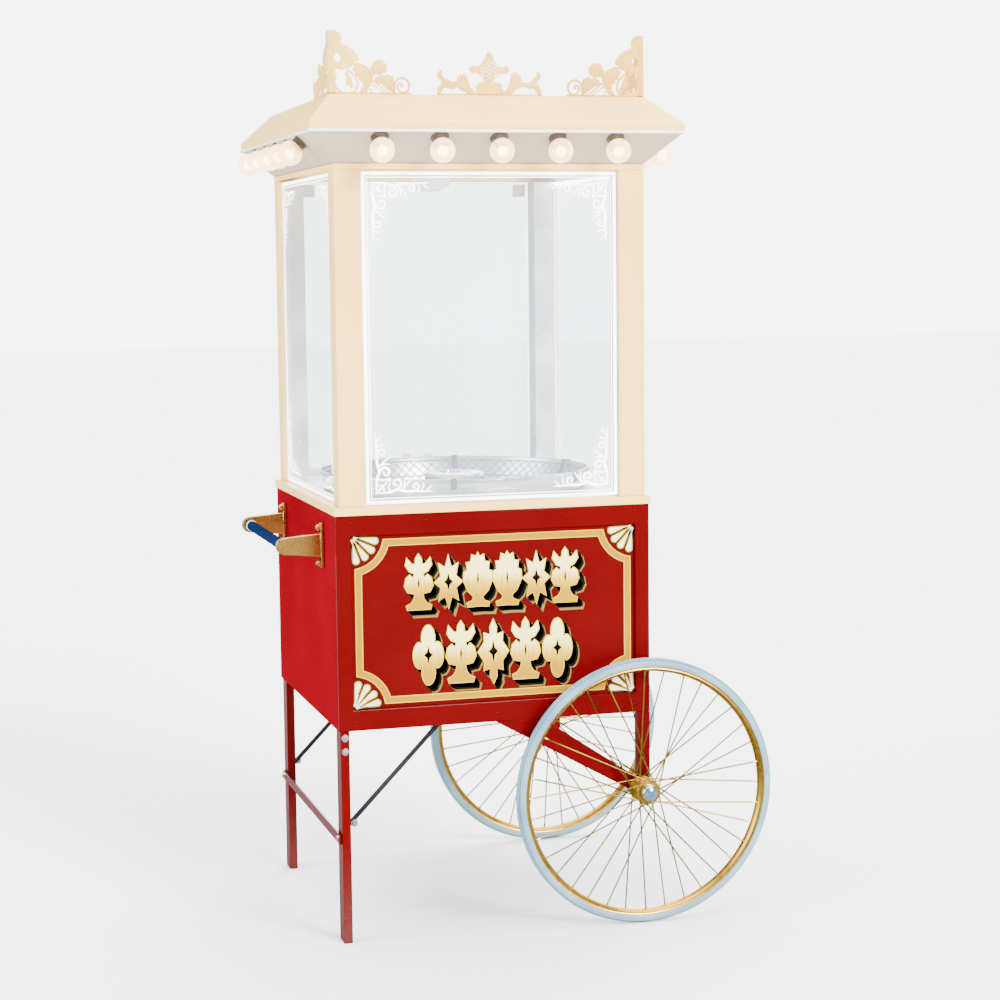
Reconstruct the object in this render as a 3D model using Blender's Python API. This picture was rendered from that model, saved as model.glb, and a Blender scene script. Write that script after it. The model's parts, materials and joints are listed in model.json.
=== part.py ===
"""Floss vending wagon: a glazed, lit cabinet on a steel body, with legs, spoked wheels and a push handle.

Metres, +Z up. The wagon's front faces -Y, its handle is at -X and its wheels are at +X.
The origin is on the ground, under the centre of the wagon's overall box.
"""

from math import cos, pi, radians, sin

import bmesh
import bpy
from mathutils import Matrix, Vector

# Driving dimensions. X and Y sizes of the body are measured from its own centre.
GAP = 0.0003  # clearance between pieces that touch
SHEET = 0.003  # body sheet
BODY_X = 0.381  # half width
BODY_Y = 0.372  # half depth
BODY_LOW = 0.505
BODY_HIGH = 1.007
FRAME_DEPTH = 0.008  # raised frame round the front panel
FIELD_X = 0.3465  # half width of the panel seen inside the frame
FIELD_LOW = 0.553
FIELD_HIGH = 0.960
REAR_OPENING = (-0.300, 0.300, 0.683, 0.888)  # low x, high x, low z, high z
REAR_SHEET = 0.0055
STORAGE_DOOR = (-0.318, 0.318, 0.665, 0.905)  # its lower edge swings clear over the rear wheel
STORAGE_DOOR_THICK = 0.0044
KNUCKLE_R = 0.003
KNUCKLE_INSET = 0.020

LEDGE_HIGH = 1.027
LEDGE_OVER = 0.0035
BOWL_HOLE = 0.322
SHELF_Z = 0.948  # underside of the shelf that carries the machine
SHELF_HOLE = 0.050

CABINET_X = 0.3715  # half width over the posts
CABINET_Y = 0.371
POST = 0.0625
POST_WALL = 0.002
POST_HIGH = 1.795
GLASS = 0.004
GLASS_INSET = 0.010  # from the outer face of the posts
DOOR_GLASS = 0.005
DOOR_HINGE_X = 0.3045
DOOR_HINGE_Y = 0.3690
DOOR_EDGE = 0.003  # from the hinge axis to the door's edge

HEADER_HIGH = 1.8092
HEADER_RIM = 0.020
EAVE_X = 0.442
EAVE_Y = 0.459
EAVE_LOW = 1.8795
EAVE_HIGH = 1.897
PLATEAU_X = 0.376
PLATEAU_Y = 0.367
PLATEAU_HIGH = 1.9646
CANOPY_SHEET = 0.002

LAMPS_PER_SIDE = 5
LAMP_PITCH = 0.139
LAMP_FROM_EAVE = 0.024  # along the slope of the soffit
SOCKET_R = 0.017
SOCKET_LONG = 0.020
BULB_R = 0.0285
BULB_OUT = 0.040  # bulb centre from the soffit
RAIL_HALF = 0.011
RAIL_THICK = 0.0035

CREST_THICK = 0.004
CORNER_CREST = (0.190, 0.175, 0.142)  # along the front, along the side, height
CREST_TAIL = 0.036  # height of a corner crest at its far end
CENTRE_CREST = (0.123, 0.098)  # half width, height
CREST_INSET = 0.004

BOWL_RIM_R = 0.338
BOWL_RIM_Z = 1.078
BOWL_FLOOR_Z = 0.9515
BOWL_CENTRE_R = 0.105
SPINNER_R = 0.075
SPINNER_Z = (1.028, 1.072)
SPINDLE_R = 0.012
MOTOR_R = 0.075
MOTOR_Z = (0.800, 0.9475)
CEILING_LAMP_Y = 0.200
CEILING_LAMP_R = 0.055

LEG_X = 0.0206  # section
LEG_Y = 0.0495
LEG_WALL = 0.002
LEG_INSET = 0.004
FOOT_THICK = 0.004
CROSSBAR_Z = 0.247
CROSSBAR_HIGH = 0.022
CROSSBAR_THICK = 0.006
LEG_BRACE_LOW = 0.272
LEG_BRACE_TOP_X = -0.136
LEG_BRACE_WIDE = 0.009

WHEEL_X = 0.354
WHEEL_Z = 0.3217  # also the wheel's radius, so that the tyre meets the ground
WHEEL_Y = 0.4125
RIM_OUT_R = 0.3055
RIM_IN_R = 0.2895
RIM_HALF = 0.0125
TYRE_HALF = 0.0165
SPOKES = 36
SPOKE_R = 0.0012
FLANGE_R = 0.0295
FLANGE_Y = 0.0265  # flange from the wheel's middle plane
AXLE_R = 0.008
AXLE_CLEAR = 0.0004
STRUT_X = (0.351, 0.381)
BRACKET_Y = 0.025  # thickness of the axle bracket
GUSSET_X = (-0.004, 0.112)
HUB_BOSS_R = 0.026
STAY_R = 0.0045
STAY_TOP = (0.060, 0.060)  # where the inner stay meets the underside: x, distance in from the front face

HANDLE_Y = (-0.230, 0.250)
HANDLE_Z = 0.926
HANDLE_REACH = 0.114  # from the body's side to the end of the arm
ARM_THICK = 0.014
ARM_END_R = 0.020
ARM_ROOT_HIGH = 0.056
BAR_X = 0.008
BAR_Y = 0.020
BAR_HIGH = 0.105
GRIP_R = 0.0125

PANEL = (-0.300, -0.020, 0.914, 0.996)  # control panel: low x, high x, low z, high z
PANEL_THICK = 0.003
SWITCHES = {"heat_switch": -0.255, "lamp_switch": -0.205}
SWITCH_Z = 0.955
SWITCH_HALF = (0.009, 0.014)
KNOB_X = -0.075
KNOB_R = 0.019
KNOB_DEEP = 0.020

STEPS = 48
# Moves the body so that the origin is under the middle of the overall box.
CENTRE_X = (HANDLE_REACH + BODY_X - WHEEL_X - WHEEL_Z) / 2

FINISHES = {  # colour, roughness, metallic
    "red_enamel": ((0.35, 0.004, 0.008), 0.15, 0.0),
    "cream_enamel": ((0.90, 0.78, 0.56), 0.30, 0.0),
    "soffit_grey": ((0.62, 0.60, 0.55), 0.40, 0.0),
    "roof_grey": ((0.62, 0.66, 0.68), 0.35, 0.0),
    "stainless": ((0.62, 0.62, 0.62), 0.28, 1.0),
    "clear_glass": ((0.90, 0.95, 0.98), 0.05, 0.0),
    "white_enamel": ((0.85, 0.85, 0.83), 0.30, 0.0),
    "lamp_glass": ((1.00, 0.85, 0.60), 0.10, 0.0),
    "cast_brass": ((0.60, 0.36, 0.09), 0.35, 1.0),
    "wheel_brass": ((0.78, 0.55, 0.22), 0.25, 1.0),
    "tyre_rubber": ((0.55, 0.62, 0.64), 0.60, 0.0),
    "grip_blue": ((0.01, 0.04, 0.08), 0.20, 0.0),
    "dark_steel": ((0.05, 0.03, 0.03), 0.40, 0.6),
    "black_plastic": ((0.02, 0.02, 0.02), 0.35, 0.0),
    "cap_chrome": ((0.45, 0.65, 0.78), 0.10, 1.0),
}


def finish(name):
    material = bpy.data.materials.get(name)
    if material:
        return material
    colour, roughness, metallic = FINISHES[name]
    material = bpy.data.materials.new(name)
    material.use_nodes = True
    shader = material.node_tree.nodes["Principled BSDF"]
    shader.inputs["Base Color"].default_value = (*colour, 1)
    shader.inputs["Roughness"].default_value = roughness
    shader.inputs["Metallic"].default_value = metallic
    return material


def piece(name, bm, finish_name, at=(0, 0, 0), turn=(0, 0, 0), smooth=False):
    """A named object on the wagon's frame, made from bm, which it frees."""
    bmesh.ops.recalc_face_normals(bm, faces=bm.faces)
    mesh = bpy.data.meshes.new(name)
    bm.to_mesh(mesh)
    bm.free()
    if smooth:
        mesh.shade_smooth()
        mesh.set_sharp_from_angle(angle=radians(35))
    mesh.materials.append(finish(finish_name))
    obj = bpy.data.objects.new(name, mesh)
    obj.location = at
    obj.rotation_euler = turn
    obj.parent = wagon
    bpy.context.scene.collection.objects.link(obj)
    return obj


def block_mesh(low, high):
    bm = bmesh.new()
    size = Vector(high) - Vector(low)
    centre = (Vector(high) + Vector(low)) / 2
    bmesh.ops.create_cube(bm, size=1, matrix=Matrix.Translation(centre) @ Matrix.Diagonal((*size, 1)))
    return bm


def block(name, low, high, finish_name):
    return piece(name, block_mesh(low, high), finish_name)


def outline_mesh(points, along, start, end):
    """A flat outline, given in the two other axes' order, pushed from start to end along an axis."""
    bm = bmesh.new()
    place = {
        "X": lambda a, b, c: (c, a, b),
        "Y": lambda a, b, c: (a, c, b),
        "Z": lambda a, b, c: (a, b, c),
    }[along]
    face = bm.faces.new([bm.verts.new(place(a, b, start)) for a, b in points])
    made = bmesh.ops.extrude_face_region(bm, geom=[face])["geom"]
    moved = [v for v in made if isinstance(v, bmesh.types.BMVert)]
    bmesh.ops.translate(bm, verts=moved, vec=Vector(place(0, 0, end)) - Vector(place(0, 0, start)))
    return bm


def turned_mesh(profile, steps=STEPS):
    """A closed profile of (radius, height) points turned round the Z axis."""
    bm = bmesh.new()
    verts = [bm.verts.new((r, 0, z)) for r, z in profile]
    edges = [bm.edges.new((verts[i - 1], v)) for i, v in enumerate(verts)]
    edges = [e for e in edges if any(v.co.x > 1e-6 for v in e.verts)]
    bmesh.ops.spin(
        bm, geom=verts + edges, cent=(0, 0, 0), axis=(0, 0, 1), angle=2 * pi, steps=steps, use_merge=True
    )
    bmesh.ops.remove_doubles(bm, verts=bm.verts, dist=1e-6)
    loose = [e for e in bm.edges if not e.link_faces]
    bmesh.ops.delete(bm, geom=loose, context="EDGES")
    return bm


def cylinder_mesh(radius, low, high, steps):
    return turned_mesh([(0, low), (radius, low), (radius, high), (0, high)], steps)


def arc(centre, radius, start, end, points):
    """Points of an arc, angles in degrees."""
    angles = [radians(start + (end - start) * i / (points - 1)) for i in range(points)]
    return [(centre[0] + radius * cos(a), centre[1] + radius * sin(a)) for a in angles]


def boolean(obj, bm, operation):
    """Joins bm to the object, or cuts it out of it, both in the object's own frame."""
    bmesh.ops.recalc_face_normals(bm, faces=bm.faces)
    mesh = bpy.data.meshes.new(f"{obj.name}_tool")
    bm.to_mesh(mesh)
    bm.free()
    tool = bpy.data.objects.new(mesh.name, mesh)
    tool.parent = obj
    tool.hide_render = True
    tool.display_type = "WIRE"
    bpy.context.scene.collection.objects.link(tool)
    modifier = obj.modifiers.new(operation.title(), "BOOLEAN")
    modifier.operation = operation
    modifier.object = tool


def ring_mesh(outer, inner):
    """A four-sided ring. Each list gives one wall as (half x, half y, z), bottom to top."""
    bm = bmesh.new()
    loops = []
    for x, y, z in outer + inner[::-1]:
        loops.append([bm.verts.new(p) for p in ((-x, -y, z), (x, -y, z), (x, y, z), (-x, y, z))])
    for lower, upper in zip(loops, loops[1:] + loops[:1]):
        for i in range(4):
            bm.faces.new((lower[i - 1], lower[i], upper[i], upper[i - 1]))
    return bm


def window_mesh(outer, inner, along, start, end):
    """A flat frame: a rectangle with a smaller one cut out. Both are (low a, high a, low b, high b)."""
    bm = bmesh.new()
    place = (lambda a, b, c: (a, c, b)) if along == "Y" else (lambda a, b, c: (a, b, c))
    loops = []
    for (low_a, high_a, low_b, high_b), c in ((outer, start), (outer, end), (inner, end), (inner, start)):
        corners = ((low_a, low_b), (high_a, low_b), (high_a, high_b), (low_a, high_b))
        loops.append([bm.verts.new(place(a, b, c)) for a, b in corners])
    for lower, upper in zip(loops, loops[1:] + loops[:1]):
        for i in range(4):
            bm.faces.new((lower[i - 1], lower[i], upper[i], upper[i - 1]))
    return bm


def make_body():
    frame_back = -BODY_Y + FRAME_DEPTH
    outer = (-BODY_X, BODY_X, BODY_LOW, BODY_HIGH)
    field = (-FIELD_X, FIELD_X, FIELD_LOW, FIELD_HIGH)
    piece("front_frame", window_mesh(outer, field, "Y", -BODY_Y, frame_back), "red_enamel")
    inside = BODY_X - SHEET - GAP
    panel_back = frame_back + GAP + SHEET
    block("front_panel", (-inside, frame_back + GAP, BODY_LOW), (inside, panel_back, BODY_HIGH), "red_enamel")
    for name, side in (("side_panel_left", -1), ("side_panel_right", 1)):
        xs = sorted((side * BODY_X, side * (BODY_X - SHEET)))
        block(name, (xs[0], frame_back + GAP, BODY_LOW), (xs[1], BODY_Y, BODY_HIGH), "red_enamel")
    rear_front = BODY_Y - REAR_SHEET
    floor_low = (-inside, panel_back + GAP, BODY_LOW)
    block("body_floor", floor_low, (inside, rear_front - GAP, BODY_LOW + SHEET), "red_enamel")
    outer = (-inside, inside, BODY_LOW, BODY_HIGH)
    piece("rear_frame", window_mesh(outer, REAR_OPENING, "Y", rear_front, BODY_Y), "red_enamel")
    shelf = block_mesh((-inside, panel_back + GAP, SHELF_Z), (inside, rear_front - GAP, SHELF_Z + SHEET))
    shelf = piece("machine_shelf", shelf, "stainless")
    boolean(shelf, cylinder_mesh(SHELF_HOLE, SHELF_Z - SHEET, SHELF_Z + 2 * SHEET, 24), "DIFFERENCE")


def make_storage_door():
    low_x, high_x, low_z, high_z = STORAGE_DOOR
    axis_x = high_x + KNUCKLE_R + 0.001
    face = BODY_Y + GAP
    axis_y = face + KNUCKLE_R + 0.0004
    door = block_mesh(
        (low_x - axis_x, face - axis_y, low_z), (high_x - axis_x, face - axis_y + STORAGE_DOOR_THICK, high_z)
    )
    door = piece("storage_door", door, "red_enamel", at=(axis_x, axis_y, 0))
    low = low_z + KNUCKLE_INSET
    high = high_z - KNUCKLE_INSET
    boolean(door, cylinder_mesh(KNUCKLE_R, low, high, 12), "UNION")
    leaf = block_mesh((-2 * KNUCKLE_R, -KNUCKLE_R / 2, low), (0, KNUCKLE_R / 2, high))
    boolean(door, leaf, "UNION")


def make_counter():
    x = BODY_X + LEDGE_OVER
    y = BODY_Y + LEDGE_OVER
    low = BODY_HIGH + GAP
    counter = block("counter", (-x, -y, low), (x, y, LEDGE_HIGH), "cream_enamel")
    boolean(counter, cylinder_mesh(BOWL_HOLE, low - SHEET, LEDGE_HIGH + SHEET, STEPS), "DIFFERENCE")


def make_cabinet():
    low = LEDGE_HIGH + GAP
    for depth, side_y in (("front", -1), ("rear", 1)):
        for width, side_x in (("left", -1), ("right", 1)):
            half = POST / 2
            wall = half - POST_WALL
            outer = [(half, half, low), (half, half, POST_HIGH)]
            tube = ring_mesh(outer, [(wall, wall, low), (wall, wall, POST_HIGH)])
            at = (side_x * (CABINET_X - half), side_y * (CABINET_Y - half), 0)
            piece(f"post_{depth}_{width}", tube, "cream_enamel", at=at)
    clear_x = CABINET_X - POST - GAP
    clear_y = CABINET_Y - POST - GAP
    top = POST_HIGH - GAP
    front = -CABINET_Y + GLASS_INSET
    block("glass_front", (-clear_x, front, low), (clear_x, front + GLASS, top), "clear_glass")
    for name, side in (("glass_left", -1), ("glass_right", 1)):
        xs = sorted((side * (CABINET_X - GLASS_INSET), side * (CABINET_X - GLASS_INSET - GLASS)))
        block(name, (xs[0], -clear_y, low), (xs[1], clear_y, top), "clear_glass")
    for name, side in (("rear_door_left", -1), ("rear_door_right", 1)):
        edge = side * -DOOR_EDGE
        meet = side * (0.001 - DOOR_HINGE_X)
        xs = sorted((edge, meet))
        door = block_mesh((xs[0], -DOOR_GLASS - 0.0005, low + 0.001), (xs[1], -0.0005, top - 0.001))
        door = piece(name, door, "clear_glass", at=(side * DOOR_HINGE_X, DOOR_HINGE_Y, 0))


def make_canopy():
    low = POST_HIGH + GAP
    header = block_mesh((-CABINET_X, -CABINET_Y, low), (CABINET_X, CABINET_Y, HEADER_HIGH))
    underside = min(header.faces, key=lambda f: f.calc_center_median().z)
    bmesh.ops.inset_region(header, faces=[underside], thickness=HEADER_RIM)
    bmesh.ops.translate(header, verts=underside.verts, vec=(0, 0, HEADER_HIGH - low - CANOPY_SHEET))
    piece("header", header, "cream_enamel")

    low = HEADER_HIGH + GAP
    rise = 0.003  # height of the sheet measured straight up
    outer = [(CABINET_X, CABINET_Y, low), (EAVE_X, EAVE_Y, EAVE_LOW)]
    inner = [(CABINET_X - 0.001, CABINET_Y - 0.001, low + rise), (EAVE_X - 0.004, EAVE_Y - 0.004, EAVE_LOW)]
    piece("soffit", ring_mesh(outer, inner), "soffit_grey")

    roof = bmesh.new()
    sections = [(EAVE_X, EAVE_Y, EAVE_LOW + GAP), (EAVE_X, EAVE_Y, EAVE_HIGH)]
    sections.append((PLATEAU_X, PLATEAU_Y, PLATEAU_HIGH))
    for x, y, z in sections[::-1]:
        drop = CANOPY_SHEET if z > EAVE_HIGH else CANOPY_SHEET / 2
        sections.append((x - CANOPY_SHEET, y - CANOPY_SHEET, z if z < EAVE_HIGH else z - drop))
    loops = []
    for x, y, z in sections:
        loops.append([roof.verts.new(p) for p in ((-x, -y, z), (x, -y, z), (x, y, z), (-x, y, z))])
    for n, (lower, upper) in enumerate(zip(loops, loops[1:] + loops[:1])):
        if n == 2:  # the plateau is closed on both its sides instead
            roof.faces.new(lower)
            roof.faces.new(upper)
            continue
        for i in range(4):
            roof.faces.new((lower[i - 1], lower[i], upper[i], upper[i - 1]))
    piece("roof", roof, "roof_grey")


def make_lamp_row(name, half_run, half_base, eave, turn):
    """Sockets and globes on one rail, built along the front and turned to its side about the middle."""
    slope = Vector((0, -(eave - half_base), EAVE_LOW - HEADER_HIGH - GAP)).normalized()
    out = Vector((0, -slope.z, slope.y))
    foot = Vector((0, -eave, EAVE_LOW)) - slope * LAMP_FROM_EAVE
    frame = Matrix((Vector((1, 0, 0)), -slope, out)).transposed().to_4x4()
    rail = bmesh.new()
    size = (2 * half_run, 2 * RAIL_HALF, RAIL_THICK)
    centre = foot + out * (RAIL_THICK / 2 + GAP)
    stand = Matrix.Translation(centre) @ frame @ Matrix.Diagonal((*size, 1))
    bmesh.ops.create_cube(rail, size=1, matrix=stand)
    row = piece(name, rail, "lamp_glass", turn=(0, 0, turn))
    socket = [(0, 0.002), (SOCKET_R, 0.002), (SOCKET_R, SOCKET_LONG), (0, SOCKET_LONG)]
    neck = BULB_R * 0.35
    globe = [(0, SOCKET_LONG - 0.006), (neck, SOCKET_LONG - 0.006)]
    globe += [(r, BULB_OUT + z) for r, z in arc((0, 0), BULB_R, -58, 90, 6)[:-1]]
    globe += [(0, BULB_OUT + BULB_R)]
    for shape in (socket, globe):
        bm = bmesh.new()
        for i in range(LAMPS_PER_SIDE):
            x = (i - (LAMPS_PER_SIDE - 1) / 2) * LAMP_PITCH
            one = turned_mesh(shape, 10)
            stand = Matrix.Translation(foot + Vector((x, 0, 0))) @ frame
            bmesh.ops.transform(one, verts=one.verts, matrix=stand)
            mesh = bpy.data.meshes.new("lamp")
            one.to_mesh(mesh)
            one.free()
            bm.from_mesh(mesh)
            bpy.data.meshes.remove(mesh)
        boolean(row, bm, "UNION")


def leaf_outline(long, high, tail=CREST_TAIL):
    """A corner crest's leaf: tall at the corner, falling in a curve to a low tail."""
    curve = [(long * (1 - s), tail + (high - tail) * s ** 2.2) for s in (0.0, 0.3, 0.5, 0.7, 0.88)]
    return [(0, 0), (long, 0)] + curve + [(0, high)]


def make_crests():
    base = PLATEAU_HIGH + GAP
    front = -PLATEAU_Y + CREST_INSET
    long_x, long_y, high = CORNER_CREST
    for name, side in (("crest_left", -1), ("crest_right", 1)):
        corner = side * (PLATEAU_X - CREST_INSET)
        face = [(corner - side * x, base + z) for x, z in leaf_outline(long_x, high)]
        crest = piece(name, outline_mesh(face, "Y", front, front + CREST_THICK), "cream_enamel")
        wing = [(front + y, base + z) for y, z in leaf_outline(long_y, high)]
        xs = sorted((corner, corner - side * CREST_THICK))
        boolean(crest, outline_mesh(wing, "X", *xs), "UNION")
    half, high = CENTRE_CREST
    shape = [(-half, 0), (half, 0), (half, 0.030), (half * 0.45, 0.052), (half * 0.22, high * 0.82), (0, high)]
    shape += [(-x, z) for x, z in shape[-2:1:-1]]
    shape = [(x, base + z) for x, z in shape]
    piece("crest_centre", outline_mesh(shape, "Y", front, front + CREST_THICK), "cream_enamel")


def make_machine():
    rim = BOWL_RIM_R
    top = BOWL_RIM_Z
    low = BOWL_FLOOR_Z
    bowl = [(rim, top), (rim, top - 0.008), (rim - 0.004, top - 0.010), (0.3155, 1.020), (0.2925, low + 0.0065)]
    bowl += [(0.282, low), (BOWL_CENTRE_R, low), (BOWL_CENTRE_R, low + 0.002), (0.281, low + 0.002)]
    bowl += [(0.2900, low + 0.0075), (0.3137, 1.021), (rim - 0.006, top - 0.008), (rim - 0.006, top)]
    piece("bowl", turned_mesh(bowl), "stainless", smooth=True)
    net = [(0.3265, 1.069), (0.2975, 0.990), (0.2960, 0.990), (0.3250, 1.069)]
    piece("floss_net", turned_mesh(net), "stainless", smooth=True)
    low, high = SPINNER_Z
    head = [(0, low), (0.045, low), (SPINNER_R, low + 0.010), (SPINNER_R, high - 0.006)]
    head += [(SPINNER_R - 0.006, high), (0.050, high), (0.046, high - 0.022), (0, high - 0.022)]
    piece("spinner_head", turned_mesh(head, 32), "stainless", smooth=True)
    top = low - GAP
    foot = MOTOR_Z[1] - 0.045
    spindle = [(0, foot), (SPINDLE_R, foot), (SPINDLE_R, 0.975), (0.020, 0.975), (0.020, 0.982), (0.016, 0.982)]
    spindle += [(0.016, 0.990), (0.020, 0.990), (0.020, 0.997), (SPINDLE_R, 0.997), (SPINDLE_R, top), (0, top)]
    piece("spindle", turned_mesh(spindle, 24), "stainless", smooth=True)
    low, high = MOTOR_Z
    bore = SPINDLE_R + 0.0005
    motor = [(0, low), (0.050, low), (MOTOR_R - 0.006, low + 0.008), (MOTOR_R - 0.006, high - 0.030)]
    motor += [(MOTOR_R, high - 0.030), (MOTOR_R, high), (bore, high), (bore, foot - 0.002), (0, foot - 0.002)]
    piece("motor", turned_mesh(motor, 32), "dark_steel", smooth=True)
    ceiling = HEADER_HIGH - CANOPY_SHEET - GAP
    r = CEILING_LAMP_R
    dome = [(0, ceiling), (r, ceiling), (r, ceiling - 0.012)]
    dome += [(r * cos(radians(a)), ceiling - 0.012 - 0.030 * sin(radians(a))) for a in (30, 60)]
    dome += [(0, ceiling - 0.042)]
    piece("ceiling_lamp", turned_mesh(dome[::-1], 24), "white_enamel", at=(0, CEILING_LAMP_Y, 0), smooth=True)


def make_controls():
    low_x, high_x, low_z, high_z = PANEL
    face = BODY_Y + GAP
    front = face + PANEL_THICK
    block("control_panel", (low_x, face, low_z), (high_x, front, high_z), "stainless")
    width, high = SWITCH_HALF
    for name, x in SWITCHES.items():
        # A rocker: a shallow V seen from the side, pivoted behind its middle.
        side = [(0.0, -high), (0.0045, -high), (0.0015, 0), (0.0075, high), (0.0, high)]
        side = [(y + 0.0022, z) for y, z in side]
        at = (x, front, SWITCH_Z)
        piece(name, outline_mesh(side, "X", -width, width), "black_plastic", at=at)
    knob = [(0, GAP * 2), (KNOB_R, GAP * 2), (KNOB_R, 0.006), (KNOB_R - 0.004, 0.008)]
    knob += [(KNOB_R - 0.005, KNOB_DEEP), (0, KNOB_DEEP)]
    at = (KNOB_X, front, SWITCH_Z)
    piece("heat_knob", turned_mesh(knob, 20), "black_plastic", at=at, turn=(-pi / 2, 0, 0), smooth=True)


def make_legs():
    x = -BODY_X + LEG_INSET + LEG_X / 2
    outer_face = x - LEG_X / 2
    inner_face = x + LEG_X / 2 + GAP
    top = BODY_LOW - GAP
    for name, side in (("front", -1), ("rear", 1)):
        y = side * (BODY_Y - LEG_INSET - LEG_Y / 2)
        leg = block_mesh((-LEG_X / 2, -LEG_Y / 2, 0), (LEG_X / 2, LEG_Y / 2, top))
        end = max(leg.faces, key=lambda f: f.calc_center_median().z)
        bmesh.ops.inset_region(leg, faces=[end], thickness=LEG_WALL)
        bmesh.ops.translate(leg, verts=end.verts, vec=(0, 0, FOOT_THICK - top))
        piece(f"leg_{name}", leg, "red_enamel", at=(x, y, 0))
        run = [(inner_face, LEG_BRACE_LOW), (inner_face, LEG_BRACE_LOW + 1.5 * LEG_BRACE_WIDE)]
        run += [(LEG_BRACE_TOP_X - 0.7 * LEG_BRACE_WIDE, top), (LEG_BRACE_TOP_X + 0.7 * LEG_BRACE_WIDE, top)]
        half = LEG_BRACE_WIDE / 2
        piece(f"leg_brace_{name}", outline_mesh(run, "Y", y - half, y + half), "dark_steel")
    y = BODY_Y - LEG_INSET - 0.006
    back = outer_face - GAP
    low = CROSSBAR_Z - CROSSBAR_HIGH / 2
    block("leg_crossbar", (back - CROSSBAR_THICK, -y, low), (back, y, low + CROSSBAR_HIGH), "red_enamel")


def make_axle_bracket(name, side):
    """Strut, tapered diagonal, boss and stub axle, welded. Side is -1 at the front and 1 at the rear."""
    top = BODY_LOW - GAP
    ys = sorted((side * BODY_Y, side * (BODY_Y - BRACKET_Y)))
    strut = [(STRUT_X[0], WHEEL_Z), (STRUT_X[1], WHEEL_Z), (STRUT_X[1], top), (STRUT_X[0], top)]
    bracket = piece(f"axle_bracket_{name}", outline_mesh(strut, "Y", *ys), "red_enamel")
    half = 0.012
    thin = 0.002  # the diagonal stands back from the strut's faces, as a narrower bar would
    run = [(GUSSET_X[0], top - 0.0001), (WHEEL_X - half, WHEEL_Z - half), (WHEEL_X + half, WHEEL_Z + half)]
    run += [(GUSSET_X[1], top - 0.0001)]
    diagonal = outline_mesh(run, "Y", ys[0] + thin, ys[1] - thin)
    boolean(bracket, diagonal, "UNION")
    boss = cylinder_mesh(HUB_BOSS_R, 0, BRACKET_Y + 0.002, 24)
    reach = WHEEL_Y + FLANGE_Y + 0.006 - (BODY_Y - BRACKET_Y)
    axle = cylinder_mesh(AXLE_R, 0.004, reach, 16)
    turn = Matrix.Rotation(-side * pi / 2, 4, "X")
    foot = Matrix.Translation((WHEEL_X, side * (BODY_Y - BRACKET_Y), WHEEL_Z)) @ turn
    for tool in (boss, axle):
        bmesh.ops.transform(tool, verts=tool.verts, matrix=foot)
        boolean(bracket, tool, "UNION")


def make_stay(name, side):
    """A slim rod from the bracket's inner face up to the underside of the body."""
    low = Vector((WHEEL_X - 0.012, side * (BODY_Y - BRACKET_Y - STAY_R - 0.002), WHEEL_Z + 0.020))
    high = Vector((STAY_TOP[0], side * (BODY_Y - BRACKET_Y - STAY_TOP[1]), BODY_LOW - STAY_R - 0.002))
    run = high - low
    rod = bmesh.new()
    bmesh.ops.create_cone(rod, cap_ends=True, segments=8, radius1=STAY_R, radius2=STAY_R, depth=run.length)
    at = (low + high) / 2
    turn = run.to_track_quat("Z", "Y").to_euler()
    piece(f"stay_{name}", rod, "dark_steel", at=at, turn=turn)


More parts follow.
